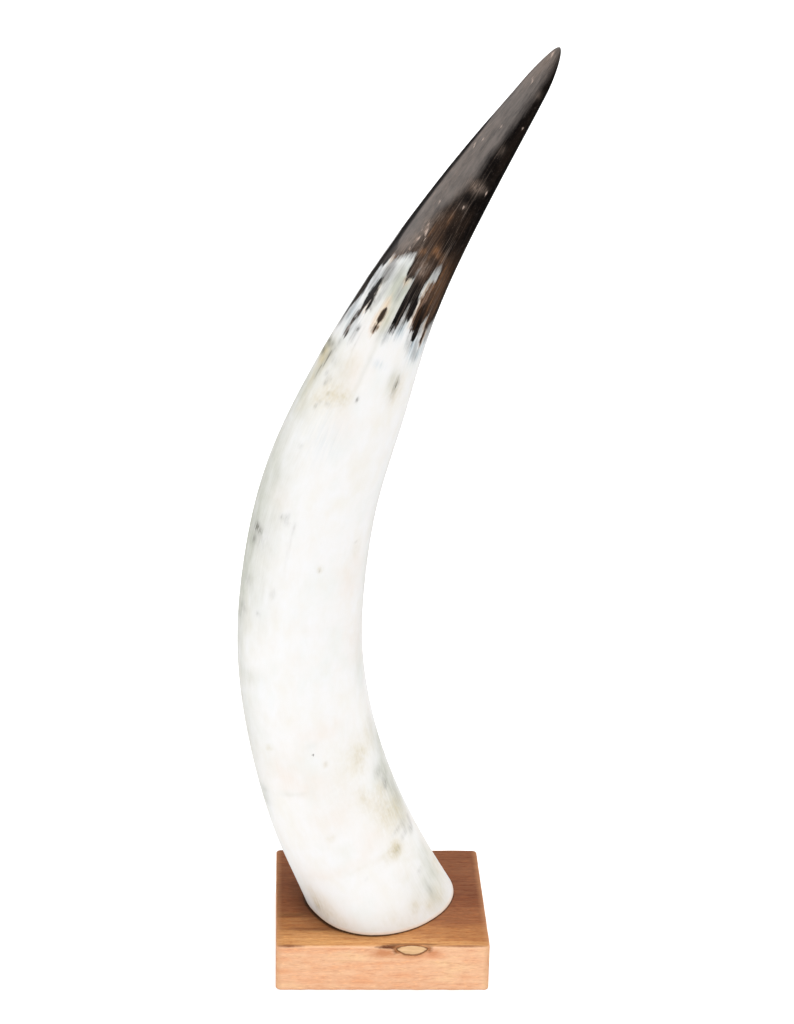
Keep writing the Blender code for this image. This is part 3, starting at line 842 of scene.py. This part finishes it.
# %% The solid dark end
above_edge = add(tree, "ShaderNodeAttribute", attribute_name="dark_end").outputs["Fac"]
solid = ragged_share(above_edge, "torn", 13.0, -3.0, 3.0)
dark_tint = tint_between("#050303", "#120C09")
# The worn grey side is partly wear and partly a painted sheen: its grey stands in for the reflection
# of the light from the front left
worn_and_sheen_side = ragged_share(add(tree, "ShaderNodeAttribute", attribute_name="worn_and_sheen").outputs["Fac"],
                         "patch", 3.6, -2.4, 2.8)
cloudy = add(tree, "ShaderNodeMapRange", (noise["patch"], 0.34, 0.66))
worn_and_sheen_tint = tint_between("#4E4A48", "#67605C", cloudy)
worn_and_sheen_tint = lay_over(tree, worn_and_sheen_tint, noise["scrape"], 0.50, 0.72, 0.28, "#796C65")
dark_tint = add(tree, "ShaderNodeMix", (worn_and_sheen_side, dark_tint, worn_and_sheen_tint), data_type="RGBA")
for kind, breaker, patchiness, pattern, first, second in (
    ("brown_glow", "torn", 1.0, hairs, "#2A1C12", "#4C382A"),
    ("rust", "mottle", 1.4, hairs, "#66432A", "#946A47"),
    ("graze", "scrape", 2.0, blots, "#5F534A", "#8C7A6E"),
):
    share = stain_share(kind, breaker, patchiness)
    tint = tint_between(first, second, pattern)
    dark_tint = add(tree, "ShaderNodeMix", (share, dark_tint, tint), data_type="RGBA")
# Near its border the dark is thin, and pale fibres show in it
thin = add(tree, "ShaderNodeMapRange", (above_edge, 40.0, 2.0, 0.0, 0.55))
pale_fibres = add(tree, "ShaderNodeMapRange", (noise["hair"], 0.54, 0.68))
pale_fibres = add(tree, "ShaderNodeMath", (pale_fibres, thin), operation="MULTIPLY")
dark_tint = lay_over(tree, dark_tint, pale_fibres, 0.0, 1.0, 1.0, "#83756B")
dark_tint = lay_over(tree, dark_tint, noise["dust"], 0.60, 0.76, 0.22, "#8C7D74")
colour = add(tree, "ShaderNodeMix", (solid, colour, dark_tint), data_type="RGBA")
# Pale scratches, and a painted glint at the tip
chip = add(tree, "ShaderNodeAttribute", attribute_name="chip").outputs["Fac"]
chip_and_glint_share = ragged_share(chip, "scrape", 2.6, -0.5, 0.7, 0.85)
colour = lay_over(tree, colour, chip_and_glint_share, 0.0, 1.0, 1.0, "#CDB6A8")

# %% Painted bounce light and painted shade at the sawn rim
RIM_SHADE_TOP = 36.15     # mm above the table; the block's top is at 35
RIM_LAYERS = (
    # mm above the painted shade's top where it starts and where it is full, how much, colour: first
    # a warm painted glow of light thrown up by the wood, then the dark painted shade of the gap
    # below it
    (2.4, 0.0, 0.55, "#E3BE98"), (0.0, -0.4, 0.96, "#3A1C0C"),
)
horn_high = add(tree, "ShaderNodeSeparateXYZ", (add(tree, "ShaderNodeTexCoord").outputs["Object"],))
high_mm = add(tree, "ShaderNodeMath", (horn_high.outputs["Z"], 1 / MM), operation="MULTIPLY")
# The left of the foot has more of both, so the height counts a little less there
to_right = add(tree, "ShaderNodeSeparateXYZ", (horn_place,)).outputs["X"]
lowered = add(tree, "ShaderNodeMath", (to_right, 0.015, high_mm), operation="MULTIPLY_ADD")
broken = add(tree, "ShaderNodeMath", (uneven["patch"], 1.0, lowered), operation="MULTIPLY_ADD")
for start, full, amount, tint in RIM_LAYERS:
    colour = lay_over(tree, colour, broken, RIM_SHADE_TOP + start, RIM_SHADE_TOP + full, amount, tint)

# %% Gloss and fine relief
# The dark end has been buffed the most
buffed = add(tree, "ShaderNodeMapRange", (above_edge, -30.0, 10.0, 0.52, 0.28))
rough = add(tree, "ShaderNodeMath", (noise["patch"], 0.10, buffed), operation="MULTIPLY_ADD")
grain = add(tree, "ShaderNodeBump",
            {"Height": noise["hair"], "Strength": 0.25, "Distance": 0.05 * MM})
end_finish(horn_finish, {
    "Base Color": colour, "Roughness": rough, "IOR": 1.55, "Normal": grain,
    "Specular IOR Level": 0.14,
})

# %% [markdown]
# ## The block
#
# The block is planed hardwood, 150 mm square and 35 mm thick, with slightly rounded corners. A
# bevelled cube would look too perfect, so it is laid out as a box of grid lines, dense at the
# edges and at the small knot in the front arris. Each point is then moved by rule: round the
# corners, ease the arrises, wear them unevenly and sink a groove round the knot.

# %% Grid lines of the block
BLOCK_SIDE = 150 * MM
BLOCK_HEIGHT = 35 * MM
CORNER_RADIUS = 3.5 * MM
ARRIS = 1.0 * MM
EDGE_ZONE = 4.2 * MM      # along the edges the lines are closer together
EDGE_STEP = 0.35 * MM
ARRIS_ZONE = 1.4 * MM     # and closest next to the arrises of the underside and the top
KNOT_MIDDLE = 20.2 * MM
KNOT_REACH = 14 * MM


def grid_lines(low, high, step, fine):
    """Evenly spaced lines with extra ones between each pair of fine limits."""
    lines = list(np.linspace(low, high, int(round((high - low) / step)) + 1))
    for start, end, fine_step in fine:
        lines = [v for v in lines if not start < v < end]
        lines += list(np.linspace(start, end, int(round((end - start) / fine_step)) + 1))
    return np.array(sorted(set(np.round(lines, 7))))


half_side = BLOCK_SIDE / 2
edge_zone = (half_side - EDGE_ZONE, half_side, EDGE_STEP)
other_edge = (-half_side, -half_side + EDGE_ZONE, EDGE_STEP)
knot_zone = (KNOT_MIDDLE - KNOT_REACH, KNOT_MIDDLE + KNOT_REACH, 0.4 * MM)
x_lines = grid_lines(-half_side, half_side, 2 * MM, (other_edge, knot_zone, edge_zone))
y_lines = grid_lines(-half_side, half_side, 2 * MM, (other_edge, edge_zone))
z_lines = grid_lines(0, BLOCK_HEIGHT, 1.5 * MM, (
    (0, ARRIS_ZONE, 0.2 * MM), (BLOCK_HEIGHT - 9 * MM, BLOCK_HEIGHT - ARRIS_ZONE, 0.4 * MM),
    (BLOCK_HEIGHT - ARRIS_ZONE, BLOCK_HEIGHT, 0.2 * MM)))
print("grid lines:", len(x_lines), len(y_lines), len(z_lines))


# %% Six faces of grid, merged into a closed box
def face_of_grid(shape, first, second, point_at):
    """Fill one face of the box with quads between two sets of lines."""
    rows = [[shape.verts.new(point_at(a, b)) for b in second] for a in first]
    for lower, upper in zip(rows, rows[1:]):
        for i in range(len(second) - 1):
            shape.faces.new((lower[i], lower[i + 1], upper[i + 1], upper[i]))


shape = bmesh.new()
for side in (-half_side, half_side):
    face_of_grid(shape, x_lines, z_lines, lambda a, b: (a, side, b))
    face_of_grid(shape, y_lines, z_lines, lambda a, b: (side, a, b))
for level in (0, BLOCK_HEIGHT):
    face_of_grid(shape, x_lines, y_lines, lambda a, b: (a, b, level))
bmesh.ops.remove_doubles(shape, verts=shape.verts, dist=0.01 * MM)
bmesh.ops.recalc_face_normals(shape, faces=shape.faces)
block_mesh = bpy.data.meshes.new("block_grid")
shape.to_mesh(block_mesh)
shape.free()

# %% Round, ease and wear
points = np.zeros(len(block_mesh.vertices) * 3)
block_mesh.vertices.foreach_get("co", points)
points = points.reshape(-1, 3)


def ripple(position, spacing, seed):
    """Smooth repeatable unevenness between -1 and 1 along a line."""
    waves = np.random.default_rng(seed)
    total = np.zeros(len(position))
    for _ in range(5):
        length = spacing * waves.uniform(0.6, 2.2)
        total += np.sin(math.tau * (position / length + waves.uniform(0, 1)))
    return total / 3


def round_pair(past_a, past_b):
    """Move points of a square corner zone onto its round; both count from the zone's inner line."""
    reach = np.maximum(past_a, past_b)
    distance = np.hypot(past_a, past_b)
    inside = (past_a > 0) & (past_b > 0)
    scale = np.where(inside, reach / np.maximum(distance, 1e-12), 1.0)
    return past_a * scale, past_b * scale


# How far each point is from the nearest upright face, before anything moves
side_x, side_y = np.sign(points[:, 0]), np.sign(points[:, 1])
past_x = np.abs(points[:, 0]) - (half_side - CORNER_RADIUS)
past_y = np.abs(points[:, 1]) - (half_side - CORNER_RADIUS)
inset = half_side - np.maximum(np.abs(points[:, 0]), np.abs(points[:, 1]))
new_x, new_y = round_pair(past_x, past_y)
plan = points.copy()
plan[:, 0] = side_x * (half_side - CORNER_RADIUS + new_x)
plan[:, 1] = side_y * (half_side - CORNER_RADIUS + new_y)

# The outward direction in plan: across the nearest face, or along the corner's radius
in_corner = (past_x > 0) & (past_y > 0)
outward = np.stack((
    np.where(in_corner, past_x, past_x > past_y) * side_x,
    np.where(in_corner, past_y, past_y >= past_x) * side_y,
), axis=1).astype(float)
outward /= np.maximum(np.linalg.norm(outward, axis=1)[:, None], 1e-12)

around = points[:, 0] - points[:, 1]
for top in (True, False):
    wear = 1 + 0.35 * ripple(around, 16 * MM, 3 + top) + (0.25 if top else 0.45)
    ease = ARRIS * np.clip(wear, 0.7, 2.0)
    level = points[:, 2] if top else BLOCK_HEIGHT - points[:, 2]
    up = level - (BLOCK_HEIGHT - ease)
    out = ease - inset
    new_up, new_out = round_pair(up, out)
    plan[:, :2] += outward * (new_out - out)[:, None]
    plan[:, 2] += (new_up - up) * (1 if top else -1)

# %% The knot in the front arris and the finished block mesh
KNOT_HALF_LENGTH = 10.9 * MM
KNOT_TIPS = 33 * MM      # height of its two pointed ends
KNOT_DROP = 5.0 * MM     # how far its lower outline hangs below them
KNOT_RISE = 3.6 * MM     # and how far its upper outline rises above them, over the arris
GROOVE_DEPTH = 0.45 * MM
GROOVE_WIDTH = 0.45 * MM
TINY = 0.001 * MM        # points this close to a face lie on it

from_middle = (points[:, 0] - KNOT_MIDDLE) / KNOT_HALF_LENGTH
# Height unrolled over the arris, so that the knot wraps from the front onto the top
on_top = points[:, 2] > BLOCK_HEIGHT - TINY
on_front = points[:, 1] < -half_side + TINY
unrolled = points[:, 2] + np.where(on_top, points[:, 1] + half_side, 0)
near_knot = (points[:, 1] < -half_side + 6 * MM) & (points[:, 2] > 20 * MM)
bow = np.clip(1 - from_middle**2, -3, 1)
low_curve = KNOT_TIPS - KNOT_DROP * np.sign(bow) * np.abs(bow) ** 0.75
high_curve = KNOT_TIPS + KNOT_RISE * bow
knot_field = np.minimum(unrolled - low_curve, high_curve - unrolled)
knot_field = np.where(near_knot, knot_field, -20 * MM)
groove = GROOVE_DEPTH * np.exp(-((knot_field / GROOVE_WIDTH) ** 2)) * (np.abs(from_middle) < 1.15)
plan[:, 1] += np.where(near_knot & on_front, groove, 0)
plan[:, 2] -= np.where(near_knot & ~on_front, groove, 0)

block_mesh.vertices.foreach_set("co", plan.astype(np.float32).ravel())
write_values(block_mesh, "knot", np.clip(knot_field / MM, -20, 20))

# Distance on the block's top to the outline of the horn's foot, in mm, for the painted shade there
FAR = 50.0
from_foot = np.full(len(points), FAR)
starts, ends = foot_outline[:, 0], foot_outline[:, 1]
gaps = points[on_top, None, :2] - starts
runs = ends - starts
shares = np.clip((gaps * runs).sum(axis=2) / (runs**2).sum(axis=1), 0, 1)
nearest = np.linalg.norm(gaps - shares[:, :, None] * runs, axis=2).min(axis=1)
from_foot[on_top] = np.minimum(nearest / MM, FAR)
write_values(block_mesh, "from_foot", from_foot)
print("foot outline has", len(foot_outline), "edges")
wood = start_finish("oiled_hardwood")
block_mesh.materials.append(wood)
block = show("block_shape", block_mesh)
print("block has", len(block_mesh.polygons), "faces")

# %% [markdown]
# ## Holes for the screws
#
# Two screws come up through the block into the horn. Each hole is shaped as if on a lathe: a
# profile is spun round an upright axis, and the result is cut out of block and horn.

# %% Bore the block and the horn
SCREW_PLACES = ((-5 * MM, -20 * MM), (-5 * MM, 30 * MM))
TURNING_STEPS = 40
SHARP_ANGLE = math.radians(35)
CLEARANCE_PROFILE = (
    # radius and height in mm, point upwards, opened below the block
    (0, 59.8), (2.8, 54.8), (2.8, 4.25), (5.05, 2.0), (5.05, -5), (0, -5),
)
cutters = []
for x, y in SCREW_PLACES:
    spun = bmesh.new()
    outline = [spun.verts.new((radius * MM, 0, height * MM)) for radius, height in CLEARANCE_PROFILE]
    lines = [spun.edges.new(pair) for pair in zip(outline, outline[1:])]
    bmesh.ops.spin(spun, geom=outline + lines, cent=(0, 0, 0), axis=(0, 0, 1),
                   angle=math.tau, steps=TURNING_STEPS)
    bmesh.ops.remove_doubles(spun, verts=spun.verts, dist=0.01 * MM)
    bmesh.ops.recalc_face_normals(spun, faces=spun.faces)
    spun.transform(Matrix.Translation((x, y, 0)))
    cutter_mesh = bpy.data.meshes.new("screw_clearance")
    spun.to_mesh(cutter_mesh)
    spun.free()
    cutters.append(show("screw_clearance", cutter_mesh))


def bore(name, piece):
    """Cut both screws' clearances out of a piece and name it."""
    cuts = []
    for cutter in cutters:
        cut = piece.modifiers.new("bored", "BOOLEAN")
        cut.operation, cut.solver, cut.object = "DIFFERENCE", "EXACT", cutter
        cuts.append(cut)
    return plain_piece(name, piece, cuts)


block = bore("oiled_block", block)
horn = bore("polished_cow_horn", horn)
for cutter in cutters:
    bpy.data.objects.remove(cutter, do_unlink=True)
for piece in (block, horn):
    piece.data.shade_smooth()
    piece.data.set_sharp_from_angle(angle=SHARP_ANGLE)
    print(piece.name, "has", len(piece.data.polygons), "faces")

# %% [markdown]
# ## Oiled hardwood
#
# The grain runs from left to right: the front and top show long grain, and the left and right
# sides show the ends of the growth rings. Everything reads the object's own coordinates, so
# the figure runs through the block as in solid wood. The top is reddish brown, partly from oil
# and partly as painted shade; the planed front is pale and orange, with short dark pores and
# light flecks.

# %% Coordinates and grain
tree = wood.node_tree
inside = add(tree, "ShaderNodeTexCoord").outputs["Object"]
in_mm = add(tree, "ShaderNodeVectorMath", {"Vector": inside, "Scale": 1 / MM}, operation="SCALE")
split = add(tree, "ShaderNodeSeparateXYZ", (in_mm,))
WOOD_NOISES = {
    # size in mm along X, Y and Z, detail; real pores are 0.2 mm wide and wouldn't show
    "figure": ((120, 22, 22), 3.0),
    "waver": ((55, 16, 16), 2.0),
    "pore": ((7, 0.8, 0.8), 2.0),
    "fleck": ((4, 1.1, 1.1), 2.0),
    "streak": ((60, 2.2, 2.2), 3.0),
    "blotch": ((26, 8, 8), 3.0),
}
grainy = make_noises(tree, in_mm, WOOD_NOISES, (2.3, 5.1, 1.7), 0.6)

# Growth rings round a pith that lay below the block and a little behind its middle
PITH = (0, 25, -70)
TAPER = (50, 1, 1)     # a trunk is slim, so 50 mm along it changes a ring as 1 mm across it does
RING_SPACING = 3.4
RING_WAVER = 9.0     # mm that a ring strays from its circle
from_pith = gap_to(tree, in_mm, PITH, TAPER)
bent = add(tree, "ShaderNodeMath", (grainy["waver"], RING_WAVER, from_pith),
           operation="MULTIPLY_ADD")
phase = add(tree, "ShaderNodeMath", (bent, math.tau / RING_SPACING), operation="MULTIPLY")
wave = add(tree, "ShaderNodeMath", (phase,), operation="SINE")
ring = add(tree, "ShaderNodeMapRange", (wave, -0.2, 1.0))

# %% A pale front and a top that gets darker towards the back
is_top = add(tree, "ShaderNodeMapRange", (split.outputs["Z"], 34.2, 34.9))
side_way = add(tree, "ShaderNodeMath", (split.outputs["X"],), operation="ABSOLUTE")
is_end = add(tree, "ShaderNodeMapRange", (side_way, 74.2, 74.8))
colour = add(tree, "ShaderNodeMix", (grainy["figure"], srgb("#D5A17E"), srgb("#DDB592")),
             data_type="RGBA")
FRONT_CLOUDS = ((0.50, 0.68, 0.60, "#D4966C"), (0.48, 0.32, 0.60, "#DFBC93"))
for start, full, amount, tint in FRONT_CLOUDS:
    colour = lay_over(tree, colour, grainy["blotch"], start, full, amount, tint)
# The tones follow the grain's waver and reach less far back at the right
TONE_WAVER = 26.0     # mm
TONE_SLANT = 0.11     # mm in depth for each mm to the right
waver = add(tree, "ShaderNodeMath", (grainy["waver"], 0.5), operation="SUBTRACT")
wavy = add(tree, "ShaderNodeMath", (waver, TONE_WAVER, split.outputs["Y"]),
           operation="MULTIPLY_ADD")
behind = add(tree, "ShaderNodeMath", (split.outputs["X"], TONE_SLANT, wavy),
             operation="MULTIPLY_ADD")
# The top's tones, darker towards the back, are partly the oiled wood's colour and partly painted
# shade
top_tone = srgb("#7C4E32")
TOP_TONES = (
    # y in mm where the tone starts and where it is full, colour
    (10, -24, "#8B5836"), (-30, -42, "#A77345"), (-52, -70, "#C6925C"),
)
for start, full, tint in TOP_TONES:
    top_tone = lay_over(tree, top_tone, behind, start, full, 1.0, tint)
TOP_BANDS = (
    # x and y of the middle, half length and half width in mm, how much: two dark bands at the left
    (-66, -29, 26, 4.5, 0.65), (-46, -50, 32, 4.0, 0.60), (40, -34, 20, 3.0, 0.30),
)
for x, y, half_length, half_width, amount in TOP_BANDS:
    gap = gap_to(tree, in_mm, (x, y, 0), (half_length, half_width, math.inf))
    bent = add(tree, "ShaderNodeMath", (grainy["blotch"], 0.9, gap), operation="MULTIPLY_ADD")
    top_tone = lay_over(tree, top_tone, bent, 1.5, 0.6, amount, "#6B4324")
colour = add(tree, "ShaderNodeMix", (is_top, colour, top_tone), data_type="RGBA")

# %% Rings, streaks, pores and flecks
WOOD_LAYERS = (
    # pattern, from where to where it shows, how much on front, top and ends, colour multiplied in
    (ring, 0.0, 1.0, (0.10, 0.22, 0.60), "#D9B08E"),
    (grainy["figure"], 0.45, 0.75, (0.10, 0.50, 0.40), "#C99B78"),
    (grainy["streak"], 0.50, 0.72, (0.14, 0.45, 0.20), "#D2A17C"),
    (grainy["pore"], 0.54, 0.68, (0.26, 0.50, 0.40), "#C08A66"),
    (grainy["fleck"], 0.54, 0.70, (0.16, 0.30, 0.20), "#CF9C78"),
)
for pattern, low, high, (front, top, end), tint in WOOD_LAYERS:
    amount = add(tree, "ShaderNodeMath", (is_top, top - front, front), operation="MULTIPLY_ADD")
    amount = add(tree, "ShaderNodeMath", (is_end, end - front, amount), operation="MULTIPLY_ADD")
    share = add(tree, "ShaderNodeMapRange", (pattern, low, high))
    share = add(tree, "ShaderNodeMath", (share, amount), operation="MULTIPLY", use_clamp=True)
    colour = add(tree, "ShaderNodeMix", (share, colour, srgb(tint)), data_type="RGBA",
                 blend_type="MULTIPLY")
light = add(tree, "ShaderNodeMapRange", (grainy["fleck"], 0.46, 0.32, 0.0, 0.35))
colour = add(tree, "ShaderNodeMix", (light, colour, srgb("#FFE6CC")), data_type="RGBA",
             blend_type="SOFT_LIGHT")
# A painted highlight runs along the front arris, which handling has also rubbed pale; it lies 35 mm
# up and 75 mm forward, 110 in all
edge_sum = add(tree, "ShaderNodeMath", (split.outputs["Z"], split.outputs["Y"]),
               operation="SUBTRACT")
rubbed_and_highlight = add(tree, "ShaderNodeMapRange", (edge_sum, 108.3, 109.2, 0.0, 0.42))
rubbed_and_highlight = add(tree, "ShaderNodeMath", (rubbed_and_highlight, grainy["blotch"]), operation="MULTIPLY")
colour = lay_over(tree, colour, rubbed_and_highlight, 0.0, 1.0, 1.0, "#F6D3B0")

# %% Painted shade round the horn's foot, and darker edges
from_foot = add(tree, "ShaderNodeAttribute", attribute_name="from_foot").outputs["Fac"]
at_left = add(tree, "ShaderNodeMapRange", (split.outputs["X"], 20.0, -55.0))     # 1 at the left
FOOT_SHADE_RINGS = (
    # mm from the horn where the ring ends, at its right and at its left, share of that where it
    # is full, how much at the right and at the left, colour
    # a thin painted shade where horn and block meet, then a wide soft painted shadow that the horn
    # casts to its left
    (1.2, 2.3, 0.45, 0.65, 0.92, "#33200F"),
    (4.0, 14.0, 0.00, 0.05, 0.50, "#452818"),
)
for right_end, left_end, full, right_amount, left_amount, tint in FOOT_SHADE_RINGS:
    end = add(tree, "ShaderNodeMapRange", (at_left, 0.0, 1.0, right_end, left_end))
    reach = add(tree, "ShaderNodeMath", (from_foot, end), operation="DIVIDE")
    amount = add(tree, "ShaderNodeMapRange", (at_left, 0.0, 1.0, right_amount, left_amount))
    share = add(tree, "ShaderNodeMapRange", (reach, 1.0, full))
    share = add(tree, "ShaderNodeMath", (share, amount), operation="MULTIPLY")
    colour = lay_over(tree, colour, share, 0.0, 1.0, 1.0, tint)
EDGE_DARKENING = (
    # coordinate, mm where it starts and where it is full, how much
    # darker towards the left and right ends, and painted shade along the bottom edge where the block
    # meets the floor
    (side_way, 70.5, 74.8, 0.50), (split.outputs["Z"], 1.6, 0.2, 0.55),
)
for coordinate, start, full, amount in EDGE_DARKENING:
    colour = lay_over(tree, colour, coordinate, start, full, amount, "#B4835C")

# %% The knot's pale heart, dark outline and reddish surroundings
even = add(tree, "ShaderNodeMath", (grainy["fleck"], 0.5), operation="SUBTRACT")
TINGES = (
    # x, y and z of the middle, half sizes in mm, how much, colour: reddish at both ends of the
    # knot and below it, dark checks behind it and at its ends, and dirt along the arris
    ((1, -75, 29.5), (12, 5, 4.6), 0.90, "#B97A52"),
    ((35, -75, 29.5), (7, 5, 4.0), 0.75, "#BC7C55"),
    ((18, -75, 26.6), (18, 3, 2.4), 0.45, "#C98B62"),
    ((20, -72.2, 35), (22, 2.0, 3), 0.80, "#54331C"),
    ((9.4, -75, 31.4), (3.4, 3, 3.0), 0.90, "#6E4123"),
    ((4, -75, 34.2), (10, 2.2, 1.5), 1.10, "#5A301A"),
    ((7, -74.6, 35.2), (9, 2.4, 1.8), 0.85, "#6A3F22"),
    ((32, -75, 33), (3.4, 3, 3.4), 0.80, "#744526"),
    ((-66, -74.4, 35), (12, 2.2, 1.6), 0.90, "#7A4A2C"),
    ((56, -74.4, 35), (22, 1.8, 1.3), 0.75, "#87583A"),
)
for middle, half_sizes, amount, tint in TINGES:
    gap = gap_to(tree, in_mm, middle, half_sizes)
    bent = add(tree, "ShaderNodeMath", (even, 1.2, gap), operation="MULTIPLY_ADD")
    colour = lay_over(tree, colour, bent, 1.1, 0.3, amount, tint)
knot = add(tree, "ShaderNodeAttribute", attribute_name="knot").outputs["Fac"]
ragged = add(tree, "ShaderNodeMath", (even, 1.6, knot), operation="MULTIPLY_ADD")
heart = add(tree, "ShaderNodeMix", (grainy["pore"], srgb("#E0BE94"), srgb("#B3895C")),
            data_type="RGBA")
KNOT_LAYERS = (
    # mm from the knot's edge where it starts and is full, then full and ends, how much, colour
    (-4.0, -0.8, 0.0, 0.4, 0.50, srgb("#B0703F")),
    (0.1, 0.8, 30.0, 31.0, 0.92, heart),
    (-1.1, -0.4, 0.3, 1.1, 0.80, srgb("#6B4326")),
)
for start, full, hold, end, amount, tint in KNOT_LAYERS:
    rising = add(tree, "ShaderNodeMapRange", (ragged, start, full, 0.0, amount))
    falling = add(tree, "ShaderNodeMapRange", (ragged, end, hold))
    share = add(tree, "ShaderNodeMath", (rising, falling), operation="MULTIPLY")
    colour = add(tree, "ShaderNodeMix", (share, colour, tint), data_type="RGBA")

# %% Gloss and pores of the wood
rough = add(tree, "ShaderNodeMapRange", (grainy["pore"], 0.3, 0.7, 0.42, 0.62))
dips = add(tree, "ShaderNodeMath", (grainy["pore"], grainy["streak"]))
relief = add(tree, "ShaderNodeBump", {"Height": dips, "Strength": 0.5, "Distance": 0.12 * MM},
             invert=True)
end_finish(wood, {
    "Base Color": colour, "Roughness": rough, "IOR": 1.48, "Normal": relief,
    "Specular IOR Level": 0.15,
})

# %% [markdown]
# ## Zinc-plated screws
#
# The screws keep their CAD solids, which already have the right shape, and get the look of zinc
# plating: bright steel with a faint cloudy blue-grey cast.

# %% Zinc-plated steel
steel = start_finish("zinc_plated_steel")
tree = steel.node_tree
spot = add(tree, "ShaderNodeTexCoord").outputs["Object"]
clouds = add(tree, "ShaderNodeTexNoise", {"Vector": spot, "Scale": 1 / (3 * MM), "Detail": 4.0})
tone = add(tree, "ShaderNodeMix", (clouds, srgb("#B9BDC2"), srgb("#D6D4CC")), data_type="RGBA")
rough = add(tree, "ShaderNodeMapRange", (clouds, 0.3, 0.7, 0.26, 0.42))
end_finish(steel, {"Base Color": tone, "Metallic": 1.0, "Roughness": rough})
for name in ("fixing_screw_front", "fixing_screw_back"):
    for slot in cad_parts[name].material_slots:
        slot.material = steel

# %% [markdown]
# ## Who stands for what
#
# Each new piece rides on the model's single body and replaces its plain CAD node.

# %% Tie the pieces to the frame
for piece, node, slot in ((horn, "horn", "horn"), (block, "base_block", "oiled_wood")):
    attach(piece, "root")
    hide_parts(node)
    print(piece.name, "replaces", node)

# %% [markdown]
# ## Floor, studio light and camera
#
# The floor is a plain pale sheet that gives off a little light, as the top of a lit table does.
# So it looks white up to the block's edge, and the wood's colour doesn't tint it. The light is a
# soft tent round the object, painted on the world by direction: a broad low panel from the front
# left, which draws the long sheen on the dark tip, a higher one from the right, a weak one from
# the back left and a strong one overhead. Elsewhere the tent is dark, so that the right of the tip
# stays black. To the camera the world is plain white, and the floor is left out of reflections,
# as if the object stood on a small table in a dark room.

# %% Floor
FLOOR_REACH = 6.0     # metres to each side
floor_mesh = bpy.data.meshes.new("floor")
corners = [(x * FLOOR_REACH, y * FLOOR_REACH, 0) for x, y in ((-1, -1), (1, -1), (1, 1), (-1, 1))]
floor_mesh.from_pydata(corners, [], [(0, 1, 2, 3)])
floor = show("floor", floor_mesh)
floor.visible_glossy = False
paper = start_finish("matt_white_paper")
end_finish(paper, {
    "Base Color": srgb("#D8D8D8"), "Roughness": 0.9, "Specular IOR Level": 0.0,
    "Emission Color": srgb("#FFFFFF"), "Emission Strength": 0.50,
})
floor_mesh.materials.append(paper)
floor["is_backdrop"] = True

# %% Light tent
PANELS = (
    # azimuth from the front towards the right and half width, elevation and half height,
    # width of the soft edge, all in degrees, and strength
    (-57, 78, 20, 19, 12, 1.8),
    (100, 68, 40, 32, 20, 1.50),
    (-165, 30, 38, 25, 16, 0.25),
    (0, 200, 90, 30, 24, 2.4),
)
AMBIENT = 0.03

world = bpy.data.worlds.new("light_tent")
bpy.context.scene.world = world
world.use_nodes = True
tree = world.node_tree
tree.nodes.clear()
direction = add(tree, "ShaderNodeTexCoord").outputs["Generated"]
total = AMBIENT
for azimuth, half_width, elevation, half_height, soft_edge, strength in PANELS:
    spun = add(tree, "ShaderNodeVectorRotate",
               {"Vector": direction, "Angle": math.radians(-azimuth)}, rotation_type="Z_AXIS")
    parts = add(tree, "ShaderNodeSeparateXYZ", (spun,)).outputs
    ahead = add(tree, "ShaderNodeMath", (parts["Y"], -1.0), operation="MULTIPLY")
    sideways = add(tree, "ShaderNodeMath", (parts["X"], ahead), operation="ARCTAN2")
    upwards = add(tree, "ShaderNodeMath", (parts["Z"],), operation="ARCSINE")
    above = add(tree, "ShaderNodeMath", (upwards, math.radians(elevation)), operation="SUBTRACT")
    share = strength
    for angle, reach in ((sideways, half_width), (above, half_height)):
        off = add(tree, "ShaderNodeMath", (angle,), operation="ABSOLUTE")
        outer, inner = math.radians(reach + soft_edge / 2), math.radians(reach - soft_edge / 2)
        window = add(tree, "ShaderNodeMapRange", (off, outer, inner),
                     interpolation_type="SMOOTHSTEP")
        share = add(tree, "ShaderNodeMath", (window, share), operation="MULTIPLY")
    total = add(tree, "ShaderNodeMath", (share, total))
tent = add(tree, "ShaderNodeBackground", (srgb("#FFFFFF"), total))
backdrop = add(tree, "ShaderNodeBackground", (srgb("#FFFFFF"), 1.0))
seen = add(tree, "ShaderNodeLightPath").outputs["Is Camera Ray"]
shown = add(tree, "ShaderNodeMixShader", (seen, tent, backdrop))
add(tree, "ShaderNodeOutputWorld", (shown,))
bpy.context.scene.view_settings.view_transform = "Standard"
print("light tent has", len(PANELS), "panels")

# %% Camera at the photo's view
CAMERA_PLACE = Vector((-81.5, -1843.7, 994.5)) * MM
CAMERA_DOWN = math.radians(19.769)
CAMERA_RIGHT = math.radians(2.708)
CAMERA_ROLL = math.radians(-1.398)
LENS = 100           # mm, for a sensor of 36 mm along the photo's longer side

camera_data = bpy.data.cameras.new("photo_view")
camera_data.lens = LENS
camera_data.sensor_width = 36
camera = show("photo_view", camera_data)
turned_camera = (Matrix.Rotation(-CAMERA_RIGHT, 4, "Z")
                 @ Matrix.Rotation(math.radians(90) - CAMERA_DOWN, 4, "X")
                 @ Matrix.Rotation(-CAMERA_ROLL, 4, "Z"))
camera.matrix_world = Matrix.Translation(CAMERA_PLACE) @ turned_camera
bpy.context.scene.camera = camera
print("camera is", round(CAMERA_PLACE.length, 2), "m from the middle of the block's underside")

# %% [markdown]
# ## Sizes and the end
#
# The box round the finished pieces is measured.

# %% Measure the box of the finished pieces
low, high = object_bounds()
